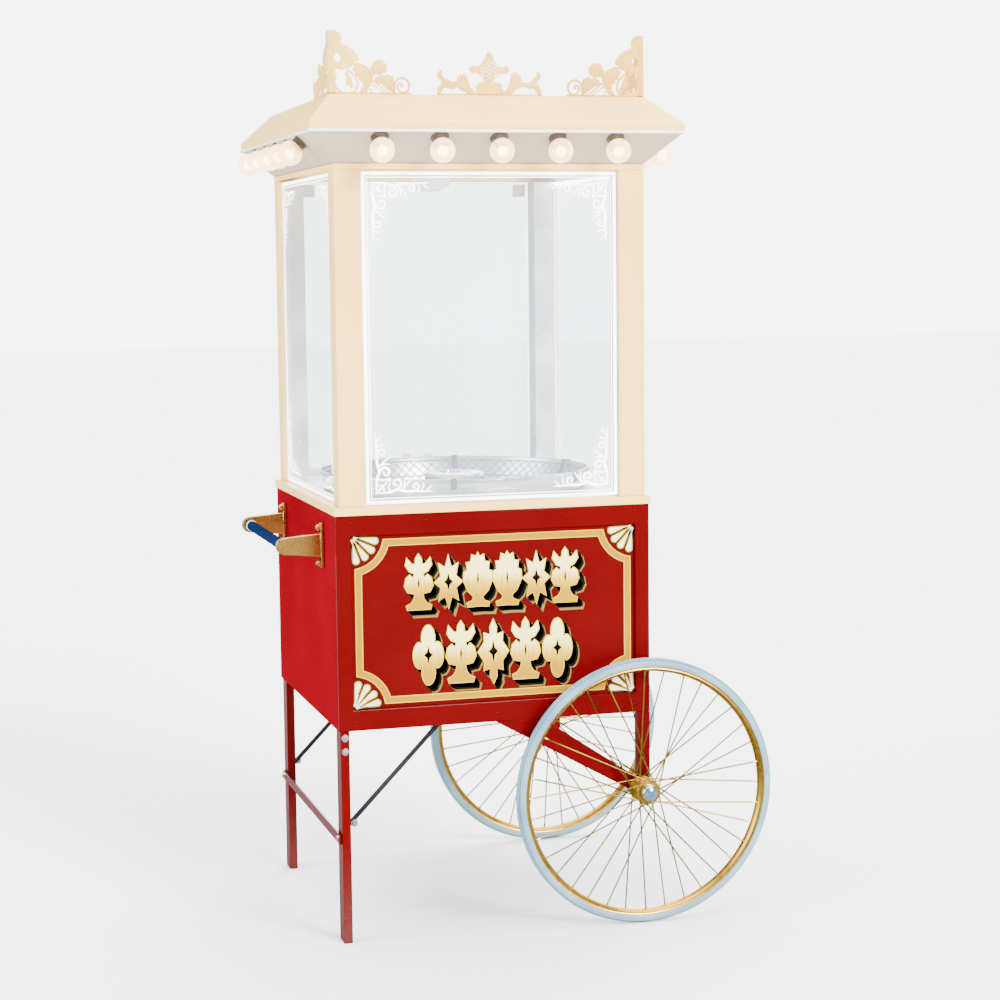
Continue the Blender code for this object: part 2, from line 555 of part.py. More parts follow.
def make_wheel(name, side):
    """Local Z runs out from the wagon, and the origin is the hub's centre."""
    at = (WHEEL_X, side * WHEEL_Y, WHEEL_Z)
    turn = (-side * pi / 2, 0, 0)
    lip = 0.004
    tread = TYRE_HALF * 0.55
    shoulder = RIM_OUT_R + (WHEEL_Z - RIM_OUT_R) * 0.62
    tyre = [(WHEEL_Z, tread), (shoulder, TYRE_HALF), (RIM_OUT_R - lip + GAP, TYRE_HALF * 0.86)]
    tyre += [(RIM_OUT_R - lip + GAP, RIM_HALF + GAP), (RIM_OUT_R + GAP, RIM_HALF + GAP)]
    tyre += [(r, -z) for r, z in tyre[::-1]]
    piece(f"tyre_{name}", turned_mesh(tyre), "tyre_rubber", at=at, turn=turn, smooth=True)
    rim = [(RIM_OUT_R, RIM_HALF), (RIM_OUT_R - lip, RIM_HALF), (RIM_IN_R, RIM_HALF * 0.45)]
    rim += [(r, -z) for r, z in rim[::-1]]
    piece(f"rim_{name}", turned_mesh(rim), "wheel_brass", at=at, turn=turn, smooth=True)
    bore = AXLE_R + AXLE_CLEAR
    flange = 0.002
    hub = [(bore, -FLANGE_Y - 0.004), (0.017, -FLANGE_Y - 0.004), (0.017, -FLANGE_Y - flange)]
    hub += [(FLANGE_R, -FLANGE_Y - flange), (FLANGE_R, -FLANGE_Y + flange), (0.014, -FLANGE_Y + 0.006)]
    hub += [(0.014, FLANGE_Y - 0.006), (FLANGE_R, FLANGE_Y - flange), (FLANGE_R, FLANGE_Y + flange)]
    hub += [(bore, FLANGE_Y + flange)]
    hub = piece(f"hub_{name}", turned_mesh(hub, 24), "wheel_brass", at=at, turn=turn, smooth=True)
    spokes = bmesh.new()
    for i in range(SPOKES):
        angle = 2 * pi * (i + 0.5) / SPOKES
        start = Vector((FLANGE_R - 0.003, 0, FLANGE_Y if i % 2 else -FLANGE_Y))
        end = Vector((RIM_IN_R - GAP - 0.0005, 0, 0))
        run = end - start
        place = Matrix.Translation((start + end) / 2) @ run.to_track_quat("Z", "Y").to_matrix().to_4x4()
        place = Matrix.Rotation(angle, 4, "Z") @ place
        bmesh.ops.create_cone(
            spokes, cap_ends=True, segments=4, radius1=SPOKE_R, radius2=SPOKE_R, depth=run.length, matrix=place
        )
    boolean(hub, spokes, "UNION")
    start = FLANGE_Y + flange + GAP
    clear = FLANGE_Y + 0.008
    cap = [(0.010, start), (0.0215, start), (0.0205, start + 0.006), (0.017, start + 0.012), (0.009, start + 0.0158)]
    cap += [(0, start + 0.017), (0, clear), (0.010, clear)]
    piece(f"hub_cap_{name}", turned_mesh(cap, 24), "cap_chrome", at=at, turn=turn, smooth=True)


def make_handle():
    face = -BODY_X - GAP
    grip_x = -BODY_X - HANDLE_REACH + ARM_END_R
    half_root = ARM_ROOT_HIGH / 2
    for name, y in zip(("front", "rear"), HANDLE_Y):
        arm = [(face, half_root), *arc((grip_x, 0), ARM_END_R, 97, 263, 11), (face, -half_root)]
        arm = [(x, HANDLE_Z + z) for x, z in arm]
        half = ARM_THICK / 2
        bracket = piece(f"handle_bracket_{name}", outline_mesh(arm, "Y", y - half, y + half), "cast_brass")
        low = (face - BAR_X, y - BAR_Y / 2, HANDLE_Z - BAR_HIGH / 2)
        boolean(bracket, block_mesh(low, (face, y + BAR_Y / 2, HANDLE_Z + BAR_HIGH / 2)), "UNION")
    start = HANDLE_Y[0] + ARM_THICK / 2 + GAP
    long = HANDLE_Y[1] - ARM_THICK / 2 - GAP - start
    grip = cylinder_mesh(GRIP_R, 0, long, 20)
    piece("grip", grip, "grip_blue", at=(grip_x, start, HANDLE_Z), turn=(-pi / 2, 0, 0), smooth=True)


for old in list(bpy.data.objects):
    bpy.data.objects.remove(old)
wagon = bpy.data.objects.new("wagon_frame", None)
wagon.location = (CENTRE_X, 0, 0)
bpy.context.scene.collection.objects.link(wagon)

make_body()
make_storage_door()
make_counter()
make_cabinet()
make_canopy()
for row, turns in (("lamps_front", 0), ("lamps_rear", pi)):
    make_lamp_row(row, 0.330, CABINET_Y, EAVE_Y, turns)
for row, turns in (("lamps_right", pi / 2), ("lamps_left", -pi / 2)):
    make_lamp_row(row, 0.330, CABINET_X, EAVE_X, turns)
make_crests()
make_machine()
make_controls()
make_legs()
for place, outward in (("front", -1), ("rear", 1)):
    make_axle_bracket(place, outward)
    make_stay(place, outward)
    make_wheel(place, outward)
make_handle()
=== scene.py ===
"""Looks of the candy floss wagon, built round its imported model. Metres, +Z up, its front towards -Y."""

import json
from math import asin, cos, hypot, pi, radians, sin, tan

import bpy
from mathutils import Matrix, Vector


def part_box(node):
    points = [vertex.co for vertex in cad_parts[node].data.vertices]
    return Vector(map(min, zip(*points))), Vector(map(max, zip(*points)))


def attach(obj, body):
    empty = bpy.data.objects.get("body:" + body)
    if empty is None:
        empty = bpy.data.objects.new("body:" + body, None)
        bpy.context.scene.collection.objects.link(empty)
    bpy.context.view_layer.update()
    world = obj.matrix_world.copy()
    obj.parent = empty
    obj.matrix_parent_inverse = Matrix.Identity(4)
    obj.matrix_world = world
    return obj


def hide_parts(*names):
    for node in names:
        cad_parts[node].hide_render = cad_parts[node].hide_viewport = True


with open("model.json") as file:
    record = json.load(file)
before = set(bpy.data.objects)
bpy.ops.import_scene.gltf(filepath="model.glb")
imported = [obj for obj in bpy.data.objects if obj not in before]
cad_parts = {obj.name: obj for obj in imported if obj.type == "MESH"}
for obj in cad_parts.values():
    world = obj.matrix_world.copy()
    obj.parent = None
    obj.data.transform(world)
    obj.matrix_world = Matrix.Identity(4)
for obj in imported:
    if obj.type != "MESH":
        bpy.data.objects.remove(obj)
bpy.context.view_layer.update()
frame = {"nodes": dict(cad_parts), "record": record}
nodes = frame["nodes"]
body_of = {n: body for body, names in frame["record"]["behaviour"]["bodies"].items() for n in names}

# --- Studio ---------------------------------------------------------------------------------------
# A pale floor in a white surround, a large warm light to the front right, a cool one to the left, a broad one
# overhead and a weak one behind. The camera stands a little left of the wagon at eye height.

bpy.ops.object.select_all(action="DESELECT")
bpy.ops.mesh.primitive_plane_add(size=80)
floor = bpy.context.object
floor.name = "studio_floor"
floor_paper = bpy.data.materials.new("floor_paper")
floor_paper.use_nodes = True
paper = floor_paper.node_tree
seen = paper.nodes.new("ShaderNodeLightPath")
tone = paper.nodes.new("ShaderNodeMapRange")
tone.inputs["To Min"].default_value = 0.92
tone.inputs["To Max"].default_value = 0.16  # how it shows in gloss, so that its glare stays out of the enamel
paper.links.new(seen.outputs["Is Glossy Ray"], tone.inputs["Value"])
paper.links.new(tone.outputs["Result"], paper.nodes["Principled BSDF"].inputs["Base Color"])
paper.nodes["Principled BSDF"].inputs["Roughness"].default_value = 0.95
paper.nodes["Principled BSDF"].inputs["Specular IOR Level"].default_value = 0.0
floor.data.materials.append(floor_paper)

world = bpy.data.worlds.new("studio_surround")
bpy.context.scene.world = world
world.use_nodes = True
surround = world.node_tree
surround.nodes["Background"].inputs["Color"].default_value = (0.95, 0.975, 1.0, 1)
seen = surround.nodes.new("ShaderNodeLightPath")
strength = surround.nodes.new("ShaderNodeMapRange")
strength.inputs["To Min"].default_value = 0.70  # what lights the wagon and shows in its gloss
strength.inputs["To Max"].default_value = 6.5  # what shows behind it
surround.links.new(seen.outputs["Is Camera Ray"], strength.inputs["Value"])
surround.links.new(strength.outputs["Result"], surround.nodes["Background"].inputs["Strength"])


def studio_sun(name, place, wide, power, colour):
    """A large, far light seen from the wagon in the direction of this place, as wide as that many degrees."""
    bpy.ops.object.light_add(type="SUN", location=place)
    lamp = bpy.context.object
    lamp.name = name
    lamp.data.angle = radians(wide)
    lamp.data.energy = power
    lamp.data.color = colour
    lamp.rotation_euler = Vector(place).to_track_quat("Z", "Y").to_euler()


studio_sun("key_front_right", (2.0, -4.2, 2.6), 24, 10.0, (1.0, 0.97, 0.90))
studio_sun("fill_left", (-5.0, -0.6, 2.0), 40, 4.6, (0.74, 0.87, 1.0))
studio_sun("overhead", (0.3, 0.8, 5.0), 70, 9.0, (1.0, 1.0, 1.0))
studio_sun("behind", (2.4, 4.6, 2.4), 40, 4.0, (1.0, 1.0, 1.0))

EYE = Vector((-1.4967, -5.3393, 1.5696))
YAW, PITCH, ROLL = 0.2781, -0.1040, -0.0109
ahead = Vector((sin(YAW) * cos(PITCH), cos(YAW) * cos(PITCH), sin(PITCH)))
across = Vector((cos(YAW), -sin(YAW), 0))
over = across.cross(ahead)
bpy.ops.object.camera_add()
camera = bpy.context.object
camera.data.lens = 79.957
camera.data.sensor_width = 36
turn = Matrix((across * cos(ROLL) + over * sin(ROLL), over * cos(ROLL) - across * sin(ROLL), -ahead))
camera.matrix_world = Matrix.Translation(EYE) @ turn.transposed().to_4x4()
bpy.context.scene.camera = camera

# --- Enamelled body -------------------------------------------------------------------------------
# Folded sheet steel, stoved in red enamel: the front frame round the sign, the rear frame, the storage door,
# the legs and their crossbar, the axle brackets, the floor and the side sheets. The side sheets take a
# lighter,
# pinker and flatter copy of the red: the lightness is a painted sheen, the reflection on their gloss. All the
# edges are rolled over but the floor's.


class Signal:
    """A shader socket that can be used in sums: an operator adds the Math node that does it."""

    def __init__(self, paint, socket):
        self.paint = paint
        self.socket = socket

    def maths(self, operation, *terms):
        return self.paint.add("ShaderNodeMath", {"operation": operation}, *terms)

    def __add__(self, other):
        return self.maths("ADD", self, other)

    def __radd__(self, other):
        return self.maths("ADD", other, self)

    def __sub__(self, other):
        return self.maths("SUBTRACT", self, other)

    def __rsub__(self, other):
        return self.maths("SUBTRACT", other, self)

    def __mul__(self, other):
        return self.maths("MULTIPLY", self, other)

    def __rmul__(self, other):
        return self.maths("MULTIPLY", other, self)

    def __truediv__(self, other):
        return self.maths("DIVIDE", self, other)


class Paint:
    """A material: a Principled shader, and nodes that vary what feeds it over the surface."""

    def __init__(self, name, **values):
        self.material = bpy.data.materials.new(name)
        self.material.use_nodes = True
        self.tree = self.material.node_tree
        self.shader = self.tree.nodes["Principled BSDF"]
        self.place = self.add("ShaderNodeTexCoord", {}, out="Object")
        self.set(**values)

    def feed(self, socket, value):
        if isinstance(value, Signal):
            self.tree.links.new(value.socket, socket)
        elif value is not None:
            is_colour = socket.type == "RGBA" and len(value) == 3
            socket.default_value = (*value, 1) if is_colour else value

    def set(self, **values):
        for key, value in values.items():
            self.feed(self.shader.inputs[key.replace("_", " ")], value)

    def add(self, kind, settings, *values, out=0, **named):
        """A node of this kind: its settings first, then the values or links of its sockets."""
        node = self.tree.nodes.new(kind)
        for key, value in settings.items():
            if key == "stops":
                while len(node.color_ramp.elements) < len(value):
                    node.color_ramp.elements.new(0.5)
                for element, (spot, shade) in zip(node.color_ramp.elements, value):
                    element.position = spot
                    element.color = (*shade, 1) if isinstance(shade, tuple) else (shade, shade, shade, 1)
            else:
                setattr(node, key, value)
        for socket, value in zip(node.inputs, values):
            self.feed(socket, value)
        for key, value in named.items():
            self.feed(node.inputs[key.replace("_", " ")], value)
        return Signal(self, node.outputs[out])

    def ramp(self, value, *stops):
        return self.add("ShaderNodeValToRGB", {"stops": stops}, value)

    def mix(self, share, first, second):
        node = self.tree.nodes.new("ShaderNodeMix")
        node.data_type = "RGBA"
        for index, value in ((0, share), (6, first), (7, second)):
            self.feed(node.inputs[index], value)
        return Signal(self, node.outputs[2])

    def noise(self, scale, detail=3.0, stretch=None):
        place = self.place
        if stretch:
            place = self.add("ShaderNodeMapping", {}, place, None, None, stretch)
        return self.add("ShaderNodeTexNoise", {}, Vector=place, Scale=scale, Detail=detail)

    def bump(self, height, depth, strength=1.0):
        self.set(Normal=self.add("ShaderNodeBump", {}, Height=height, Distance=depth, Strength=strength))

    def axis(self, index):
        return self.add("ShaderNodeSeparateXYZ", {}, self.place, out=index)


def enamel(name, colour, shade, roughness, gloss=0.5, dust=(0.30, 0.27, 0.22), dust_top=0.25):
    """Stoved enamel: faint clouding, orange peel, wiping marks in the gloss, and road dust low down."""
    paint = Paint(name, Specular_IOR_Level=gloss)
    cloud = paint.noise(3.0, 4.0)
    wiped = paint.noise(11.0, 3.0, stretch=(1, 1, 4))
    settled = paint.ramp(paint.axis(2) + paint.noise(40.0, 4.0) * 0.12, (0.04, 0.45), (0.04 + dust_top, 0.0))
    tone = paint.mix(paint.ramp(cloud, (0.35, 0.0), (0.68, 1.0)), shade, colour)
    paint.set(Base_Color=paint.mix(settled * 0.16, tone, dust))
    polish = paint.ramp(wiped, (0.30, roughness * 0.85), (0.75, roughness * 1.2))
    paint.set(Roughness=polish + settled * 0.35)
    paint.bump(paint.noise(300.0, 1.0), 0.00010, 0.3)
    return paint.material


def only(*chosen):
    """Leaves just these objects selected, the first of them active."""
    bpy.ops.object.select_all(action="DESELECT")
    for obj in chosen:
        obj.select_set(True)
    bpy.context.view_layer.objects.active = chosen[0]


def edited(obj, angle=32, doubles=0.000004):
    """Merges doubles, turns the faces outwards and shades the piece smooth up to that angle."""
    only(obj)
    bpy.ops.object.mode_set(mode="EDIT")
    bpy.ops.mesh.select_all(action="SELECT")
    bpy.ops.mesh.remove_doubles(threshold=doubles)
    bpy.ops.mesh.normals_make_consistent(inside=False)
    bpy.ops.object.mode_set(mode="OBJECT")
    bpy.ops.object.shade_smooth_by_angle(angle=radians(angle))
    return obj


def rolled_edges(obj, width, steps=2, angle=30):
    """Rounds every edge sharper than the angle."""
    only(obj)
    bevel = obj.modifiers.new("rolled_edges", "BEVEL")
    bevel.width = width
    bevel.segments = steps
    bevel.limit_method = "ANGLE"
    bevel.angle_limit = radians(angle)
    bpy.ops.object.modifier_apply(modifier=bevel.name)
    bpy.ops.object.shade_smooth_by_angle(angle=radians(angle + 5))
    return obj


def fit(obj, name, body, slot, material, *replaced):
    """Names a finished piece and gives it its material, its body and the frame's pieces it stands for."""
    obj.name = obj.data.name = name
    obj.data.materials.clear()
    obj.data.materials.append(material)
    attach(obj, body)
    if replaced:
        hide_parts(*replaced)
    return obj


def dressed(node, slot, material, width, steps=2):
    """The frame's own piece with rolled edges, standing in its place."""
    obj = nodes[node].copy()
    obj.data = nodes[node].data.copy()
    for key in list(obj.keys()):
        del obj[key]
    obj.parent = None
    bpy.context.scene.collection.objects.link(obj)
    only(obj)
    bpy.ops.object.mode_set(mode="EDIT")
    bpy.ops.mesh.select_all(action="SELECT")
    bpy.ops.mesh.remove_doubles(threshold=0.00002)
    bpy.ops.mesh.dissolve_limited(angle_limit=radians(2))
    bpy.ops.object.mode_set(mode="OBJECT")
    rolled_edges(edited(obj), width, steps)
    return fit(obj, node + "_finished", body_of[node], slot, material, node)


def repaint(node, material):
    """A frame's piece whose shape is right as it is gets its full material."""
    nodes[node].data.materials.clear()
    nodes[node].data.materials.append(material)


red_enamel = enamel("red_enamel", (0.086, 0.0004, 0.0012), (0.072, 0.0003, 0.0010), 0.16, 0.07)
# The side sheets' red is lighter and pinker as a painted sheen, the reflection on their gloss, and flatter.
side_painted_sheen_enamel = enamel("side_painted_sheen_enamel", (0.165, 0.0008, 0.0050), (0.140, 0.0006, 0.0040), 0.30, 0.0)
for node, width in {
    "front_frame": 0.0016, "rear_frame": 0.0012,
    "storage_door": 0.0010, "leg_front": 0.0014, "leg_rear": 0.0014, "leg_crossbar": 0.0014,
    "axle_bracket_front": 0.0012, "axle_bracket_rear": 0.0012,
}.items():
    dressed(node, "red_enamel", red_enamel, width)
for node in ("side_panel_left", "side_panel_right"):
    dressed(node, "red_enamel", side_painted_sheen_enamel, 0.0007)
repaint("body_floor", red_enamel)

# --- Rivets and bolts of the body -----------------------------------------------------------------
# Domed rivets, enamelled over, hold the front frame to the side sheets. Bright zinc hexagon bolts on
# washers hold the crossbar, the heads of the legs and the lower ends of the braces.


def turned(sides, rings, place=Matrix(), hollow=False, angle=32):
    """A turned piece: a circle drawn out through rings of (radius, height). A hollow one closes on itself."""
    bpy.ops.object.select_all(action="DESELECT")
    start, drop = rings[0]
    fill = "NOTHING" if hollow else "NGON"
    bpy.ops.mesh.primitive_circle_add(vertices=sides, radius=start, location=(0, 0, drop), fill_type=fill)
    obj = bpy.context.object
    bpy.ops.object.mode_set(mode="EDIT")
    bpy.ops.mesh.select_all(action="SELECT")
    for (wide, low), (wider, high) in zip(rings, rings[1:] + (rings[:1] if hollow else [])):
        bpy.ops.mesh.extrude_region_move(TRANSFORM_OT_translate={"value": (0, 0, high - low)})
        bpy.ops.transform.resize(value=(wider / wide, wider / wide, 1), center_override=(0, 0, high))
    bpy.ops.object.mode_set(mode="OBJECT")
    obj.matrix_world = place @ obj.matrix_world
    only(obj)
    bpy.ops.object.transform_apply(location=True, rotation=True, scale=True)
    return edited(obj, angle)


def facing(point, direction):
    """The matrix that stands a piece made along +Z on a point, looking in a direction."""
    return Matrix.Translation(point) @ Vector(direction).to_track_quat("Z", "Y").to_matrix().to_4x4()


def copied(obj, place):
    """A copy with its own mesh, moved by a matrix."""
    twin = obj.copy()
    twin.data = obj.data.copy()
    twin.data.transform(place)
    if place.determinant() < 0:
        twin.data.flip_normals()
    bpy.context.scene.collection.objects.link(twin)
    return twin


def merged(parts):
    """Several meshes made one piece."""
    only(*parts)
    bpy.ops.object.join()
    return parts[0]


def strewn(pattern, places):
    """A copy of the pattern at each place, as one piece. The pattern is used up."""
    parts = [copied(pattern, place) for place in places]
    bpy.data.objects.remove(pattern)
    return merged(parts)


front_low, front_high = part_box("front_frame")
rivet_places = []
for height in (front_low.z + 0.020, front_high.z - 0.016):
    for share in (0.05, 0.28, 0.5, 0.72, 0.95):
        along = front_low.x + share * (front_high.x - front_low.x)
        rivet_places.append(facing((along, front_low.y - 0.0001, height), (0, -1, 0)))
for side_x, out in ((front_low.x, -1), (front_high.x, 1)):
    for share in (0.04, 0.35, 0.65, 0.96):
        height = front_low.z + share * (front_high.z - front_low.z)
        rivet_places.append(facing((side_x + out * 0.00005, front_low.y + 0.020, height), (out, 0, 0)))
dome = turned(14, [(0.0034, -0.0006), (0.0034, 0.0003), (0.0028, 0.0012), (0.0016, 0.0019), (0.0004, 0.0021)])
fit(strewn(dome, rivet_places), "body_rivets", "wagon", "red_enamel", red_enamel)


def metal(name, colour, roughness, grain=(1, 1, 1), scale=120.0, dull=0.72, depth=0.00012):
    """Bare or plated metal: fine grain along one axis, and gloss broken up by handling."""
    paint = Paint(name, Metallic=1.0)
    fine = paint.noise(scale, 4.0, stretch=grain)
    broad = paint.noise(8.0, 3.0)
    handled = fine * 0.5 + broad * 0.5
    paint.set(Roughness=paint.ramp(handled, (0.32, roughness * 0.7), (0.70, roughness * 1.45)))
    tarnish = paint.ramp(broad * 0.6 + fine * 0.4, (0.38, 0.0), (0.64, 1.0))
    paint.set(Base_Color=paint.mix(tarnish, tuple(c * dull for c in colour), colour))
    paint.bump(fine, depth, 0.25)
    return paint.material


zinc = metal("bright_zinc", (0.78, 0.78, 0.76), 0.25)


def hex_bolt(across_flats=0.011, high=0.0052):
    """A hexagon head on its washer, standing on the ground plane."""
    wide = across_flats / 2 / cos(pi / 6)
    washer = turned(24, [(wide * 1.35, -0.0004), (wide * 1.35, 0.0009), (wide * 1.28, 0.0012)])
    head_rings = [(wide, 0.0011), (wide, high - 0.0008), (wide * 0.86, high), (wide * 0.80, high)]
    head = turned(6, head_rings, angle=20)
    return merged([washer, head])


bar_low, bar_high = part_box("leg_crossbar")
bolt_places = []
for leg, out in (("leg_front", -1), ("leg_rear", 1)):
    low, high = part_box(leg)
    middle = (low + high) / 2
    outer_y = low.y if out < 0 else high.y
    bolt_places.append(facing((bar_low.x, middle.y, (bar_low.z + bar_high.z) / 2), (-1, 0, 0)))
    bolt_places += [facing((middle.x, outer_y, high.z - drop), (0, out, 0)) for drop in (0.016, 0.048)]
    brace_low, brace_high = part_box(leg.replace("leg", "leg_brace"))
    brace_y = brace_low.y if out < 0 else brace_high.y
    bolt_places.append(facing((brace_low.x + 0.012, brace_y, brace_low.z + 0.010), (0, out, 0)))
fit(strewn(hex_bolt(), bolt_places), "body_bolts", "wagon", "stainless", zinc)

# --- Braces and stays -----------------------------------------------------------------------------
# Slim flat steel, coloured near-black as painted shade where it sits under the body: the diagonal braces of
# the legs and the stays behind the axle brackets. Each brace is bolted at its lower end.

# Near-black steel: dark on the motor, and painted shade on the leg braces and stays.
dark_steel = metal("dark_steel_and_painted_shade", (0.055, 0.060, 0.075), 0.38, grain=(4, 4, 1))
for node in ("leg_brace_front", "leg_brace_rear", "stay_front", "stay_rear"):
    dressed(node, "dark_steel", dark_steel, 0.0008)

# --- Sign panel -----------------------------------------------------------------------------------
# A flat sheet recessed in the front frame, enamelled red and sign-painted by hand: a gold band with scooped
# corners, a fan in each corner, and two tiers of shaded ornament. The paint films lie a fraction of a
# millimetre proud.

sign_enamel = enamel("sign_enamel", (0.088, 0.0004, 0.0011), (0.072, 0.0003, 0.0009), 0.20, 0.07)
repaint("front_panel", sign_enamel)
PAINT_FILM = 0.00008
panel_low, panel_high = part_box("front_panel")
MID_X = (panel_low.x + panel_high.x) / 2
FIELD = (0.3465, 0.5530, 0.9600)  # half width, bottom and top of the panel seen inside the frame
BAND_INSET, BAND_WIDE, SCOOP_R = 0.0100, 0.0170, 0.0780


def flat_sheet(outlines, thick, place, edge=0.0):
    """A sheet cut to outlines in its own XY plane, the second and later ones being holes, from Z 0 to its
    thickness, then moved into place."""
    bpy.ops.object.select_all(action="DESELECT")
    bpy.ops.curve.primitive_bezier_curve_add()
    obj = bpy.context.object
    obj.data.splines.clear()
    obj.data.dimensions = "2D"
    obj.data.fill_mode = "BOTH"
    obj.data.extrude = thick / 2 - edge
    obj.data.bevel_depth = edge
    obj.data.bevel_resolution = 1 if edge else 0
    obj.data.offset = -edge
    for outline in outlines:
        spline = obj.data.splines.new("POLY")
        spline.points.add(len(outline) - 1)
        for point, (x, y) in zip(spline.points, outline):
            point.co = (x, y, 0, 1)
        spline.use_cyclic_u = True
    bpy.ops.object.convert(target="MESH")
    obj = bpy.context.object
    obj.data.transform(place @ Matrix.Translation((0, 0, thick / 2)))
    return edited(obj, 30, 0.000001)


def on_front(x, z, y):
    """A sheet drawn in XY that faces the front, its origin at this point."""
    return Matrix.Translation((x, y, z)) @ Matrix.Rotation(pi / 2, 4, "X")


def arc(centre, radius, start, end, steps):
    """Points along an arc, its angles in degrees."""
    angles = [radians(start + (end - start) * i / steps) for i in range(steps + 1)]
    return [(centre[0] + radius * cos(a), centre[1] + radius * sin(a)) for a in angles]


def scooped(inset, radius):
    """The field's outline drawn in by an inset, with a round bite taken out of each corner."""
    half, bottom, top = FIELD
    tilt = asin(inset / radius) * 180 / pi
    outline = []
    for x, z, start in ((-half, bottom, 90), (half, bottom, 180), (half, top, 270), (-half, top, 0)):
        outline += arc((x, z), radius, start - tilt, start - 90 + tilt, 10)
    return outline


FILM_Y = panel_low.y - 0.00004  # just clear of the enamel
paints = {}
for name, colour, shade, roughness in (
    ("gold_paint", (0.36, 0.190, 0.0015), (0.30, 0.155, 0.0012), 0.35),
    ("pale_gold_paint", (0.66, 0.42, 0.008), (0.58, 0.36, 0.007), 0.35),
    ("white_paint", (0.88, 0.84, 0.66), (0.80, 0.74, 0.54), 0.32),
    ("black_paint", (0.004, 0.004, 0.004), (0.006, 0.006, 0.006), 0.28),
):
    paints[name] = enamel(name, colour, shade, roughness, 0.10)


def painted(name, outlines, paint, layer, at=(0, 0)):
    """A film of paint on the sign, as many films proud of it as its layer says."""
    sheet = flat_sheet(outlines, PAINT_FILM * layer, on_front(MID_X + at[0], at[1], FILM_Y))
    return fit(sheet, name, "wagon", "sign_enamel", paint)


BAND_EDGE = 0.0022
band = [scooped(BAND_INSET + w, SCOOP_R + w) for w in (0, BAND_WIDE)]
painted("sign_band", band, paints["gold_paint"], 2)
for name, near in (("outer", 0), ("inner", BAND_WIDE - BAND_EDGE)):
    rims = [scooped(BAND_INSET + near + w, SCOOP_R + near + w) for w in (0, BAND_EDGE)]
    painted("sign_band_" + name + "_line", rims, paints["pale_gold_paint"], 3)

PETALS, PETAL_LONG = 4, 0.0670


def petal(grow, lean):
    """One petal of a corner fan: narrow at its root, with a round tip."""
    half = PETAL_LONG * tan(radians(90 / PETALS / 2)) * 0.76
    tip = arc((PETAL_LONG - half, 0), half + grow, -78, 78, 10)
    outline = [(0.004 - grow, -0.0006 - grow)] + tip + [(0.004 - grow, 0.0006 + grow)]
    return [(x * cos(lean) - y * sin(lean), x * sin(lean) + y * cos(lean)) for x, y in outline]


FAN_FILMS = (("black_paint", 0.0028, 1), ("gold_paint", 0.0, 2), ("white_paint", -0.0028, 3))
fan_parts = {paint: [] for paint, grow, layer in FAN_FILMS}
for side_x, side_z, height in ((1, -1, FIELD[2]), (-1, -1, FIELD[2]), (1, 1, FIELD[1]), (-1, 1, FIELD[1])):
    corner = (-side_x * (FIELD[0] - 0.0025), height + side_z * 0.0025)
    for index in range(PETALS):
        lean = radians(90 / PETALS * (index + 0.5))
        for paint, grow, layer in FAN_FILMS:
            outline = [(x * side_x, z * side_z) for x, z in petal(grow, lean)]
            place = on_front(MID_X + corner[0], corner[1], FILM_Y)
            fan_parts[paint].append(flat_sheet([outline], PAINT_FILM * layer, place))
for paint, parts in fan_parts.items():
    fit(merged(parts), "sign_fans_" + paint, "wagon", "sign_enamel", paints[paint])


def mirrored(half):
    """An outline from the points of its right half, given from the bottom to the top."""
    return half + [(-x, y) for x, y in reversed(half) if x > 1e-6]


def grown(outline, by):
    """The outline moved outwards along its own normals."""
    area = sum(a[0] * b[1] - b[0] * a[1] for a, b in zip(outline, outline[1:] + outline[:1]))
    side = 1 if area > 0 else -1
    moved = []
    for before, point, after in zip(outline[-1:] + outline[:-1], outline, outline[1:] + outline[:1]):
        along = (after[0] - before[0], after[1] - before[1])
        length = max(hypot(*along), 1e-9)
        moved.append((point[0] + side * by * along[1] / length, point[1] - side * by * along[0] / length))
    return moved


def rayed(points, wide, tall, waist):
    """A star round its middle, its rays reaching this far across and up, its notches a share of that."""
    outline = []
    for i in range(points * 2):
        a = pi / 2 + pi * i / points
        reach = 1.0 if i % 2 == 0 else waist
        outline.append((wide * reach * cos(a), tall * reach * sin(a)))
    return outline


# Ornaments about one unit wide and two high round their own middle, each with the hole pierced in it: a
# fleuron, a rayed star, a quatrefoil, a barbed lozenge and a scalloped shell.
SLIT = rayed(2, 0.10, 0.26, 0.35)
FLEURON = (mirrored([
    (0, -1.0), (0.46, -1.0), (0.50, -0.84), (0.30, -0.74), (0.20, -0.60), (0.16, -0.40), (0.44, -0.34),
    (0.56, -0.10), (0.50, 0.20), (0.34, 0.34), (0.22, 0.22), (0.18, 0.36), (0.36, 0.44), (0.52, 0.68),
    (0.46, 0.98), (0.26, 0.74), (0.15, 0.72), (0.12, 0.94), (0, 1.12),
]), [(x, y - 0.02) for x, y in SLIT])
STAR = (rayed(8, 0.56, 1.04, 0.58), rayed(4, 0.17, 0.34, 0.45))
lobes = [(abs(cos(2 * a)) ** 0.7, a) for a in (radians(360 * i / 64) for i in range(64))]
four_lobed = [((0.32 + 0.24 * s) * cos(a), (0.56 + 0.46 * s) * sin(a)) for s, a in lobes]
QUATREFOIL = (four_lobed, rayed(4, 0.16, 0.32, 0.42))
LOZENGE = (mirrored([
    (0, -1.12), (0.13, -0.84), (0.12, -0.58), (0.36, -0.66), (0.34, -0.34), (0.58, 0), (0.34, 0.34),
    (0.36, 0.66), (0.12, 0.58), (0.13, 0.84), (0, 1.12),
]), rayed(4, 0.18, 0.40, 0.42))
SHELL = (mirrored([
    (0, -0.98), (0.42, -1.0), (0.46, -0.84), (0.24, -0.76), (0.18, -0.62), (0.40, -0.40), (0.58, 0.02),
    (0.56, 0.34), (0.42, 0.40), (0.46, 0.70), (0.28, 0.72), (0.24, 1.00), (0.08, 0.92), (0, 1.08),
]), [(x, y + 0.05) for x, y in SLIT])


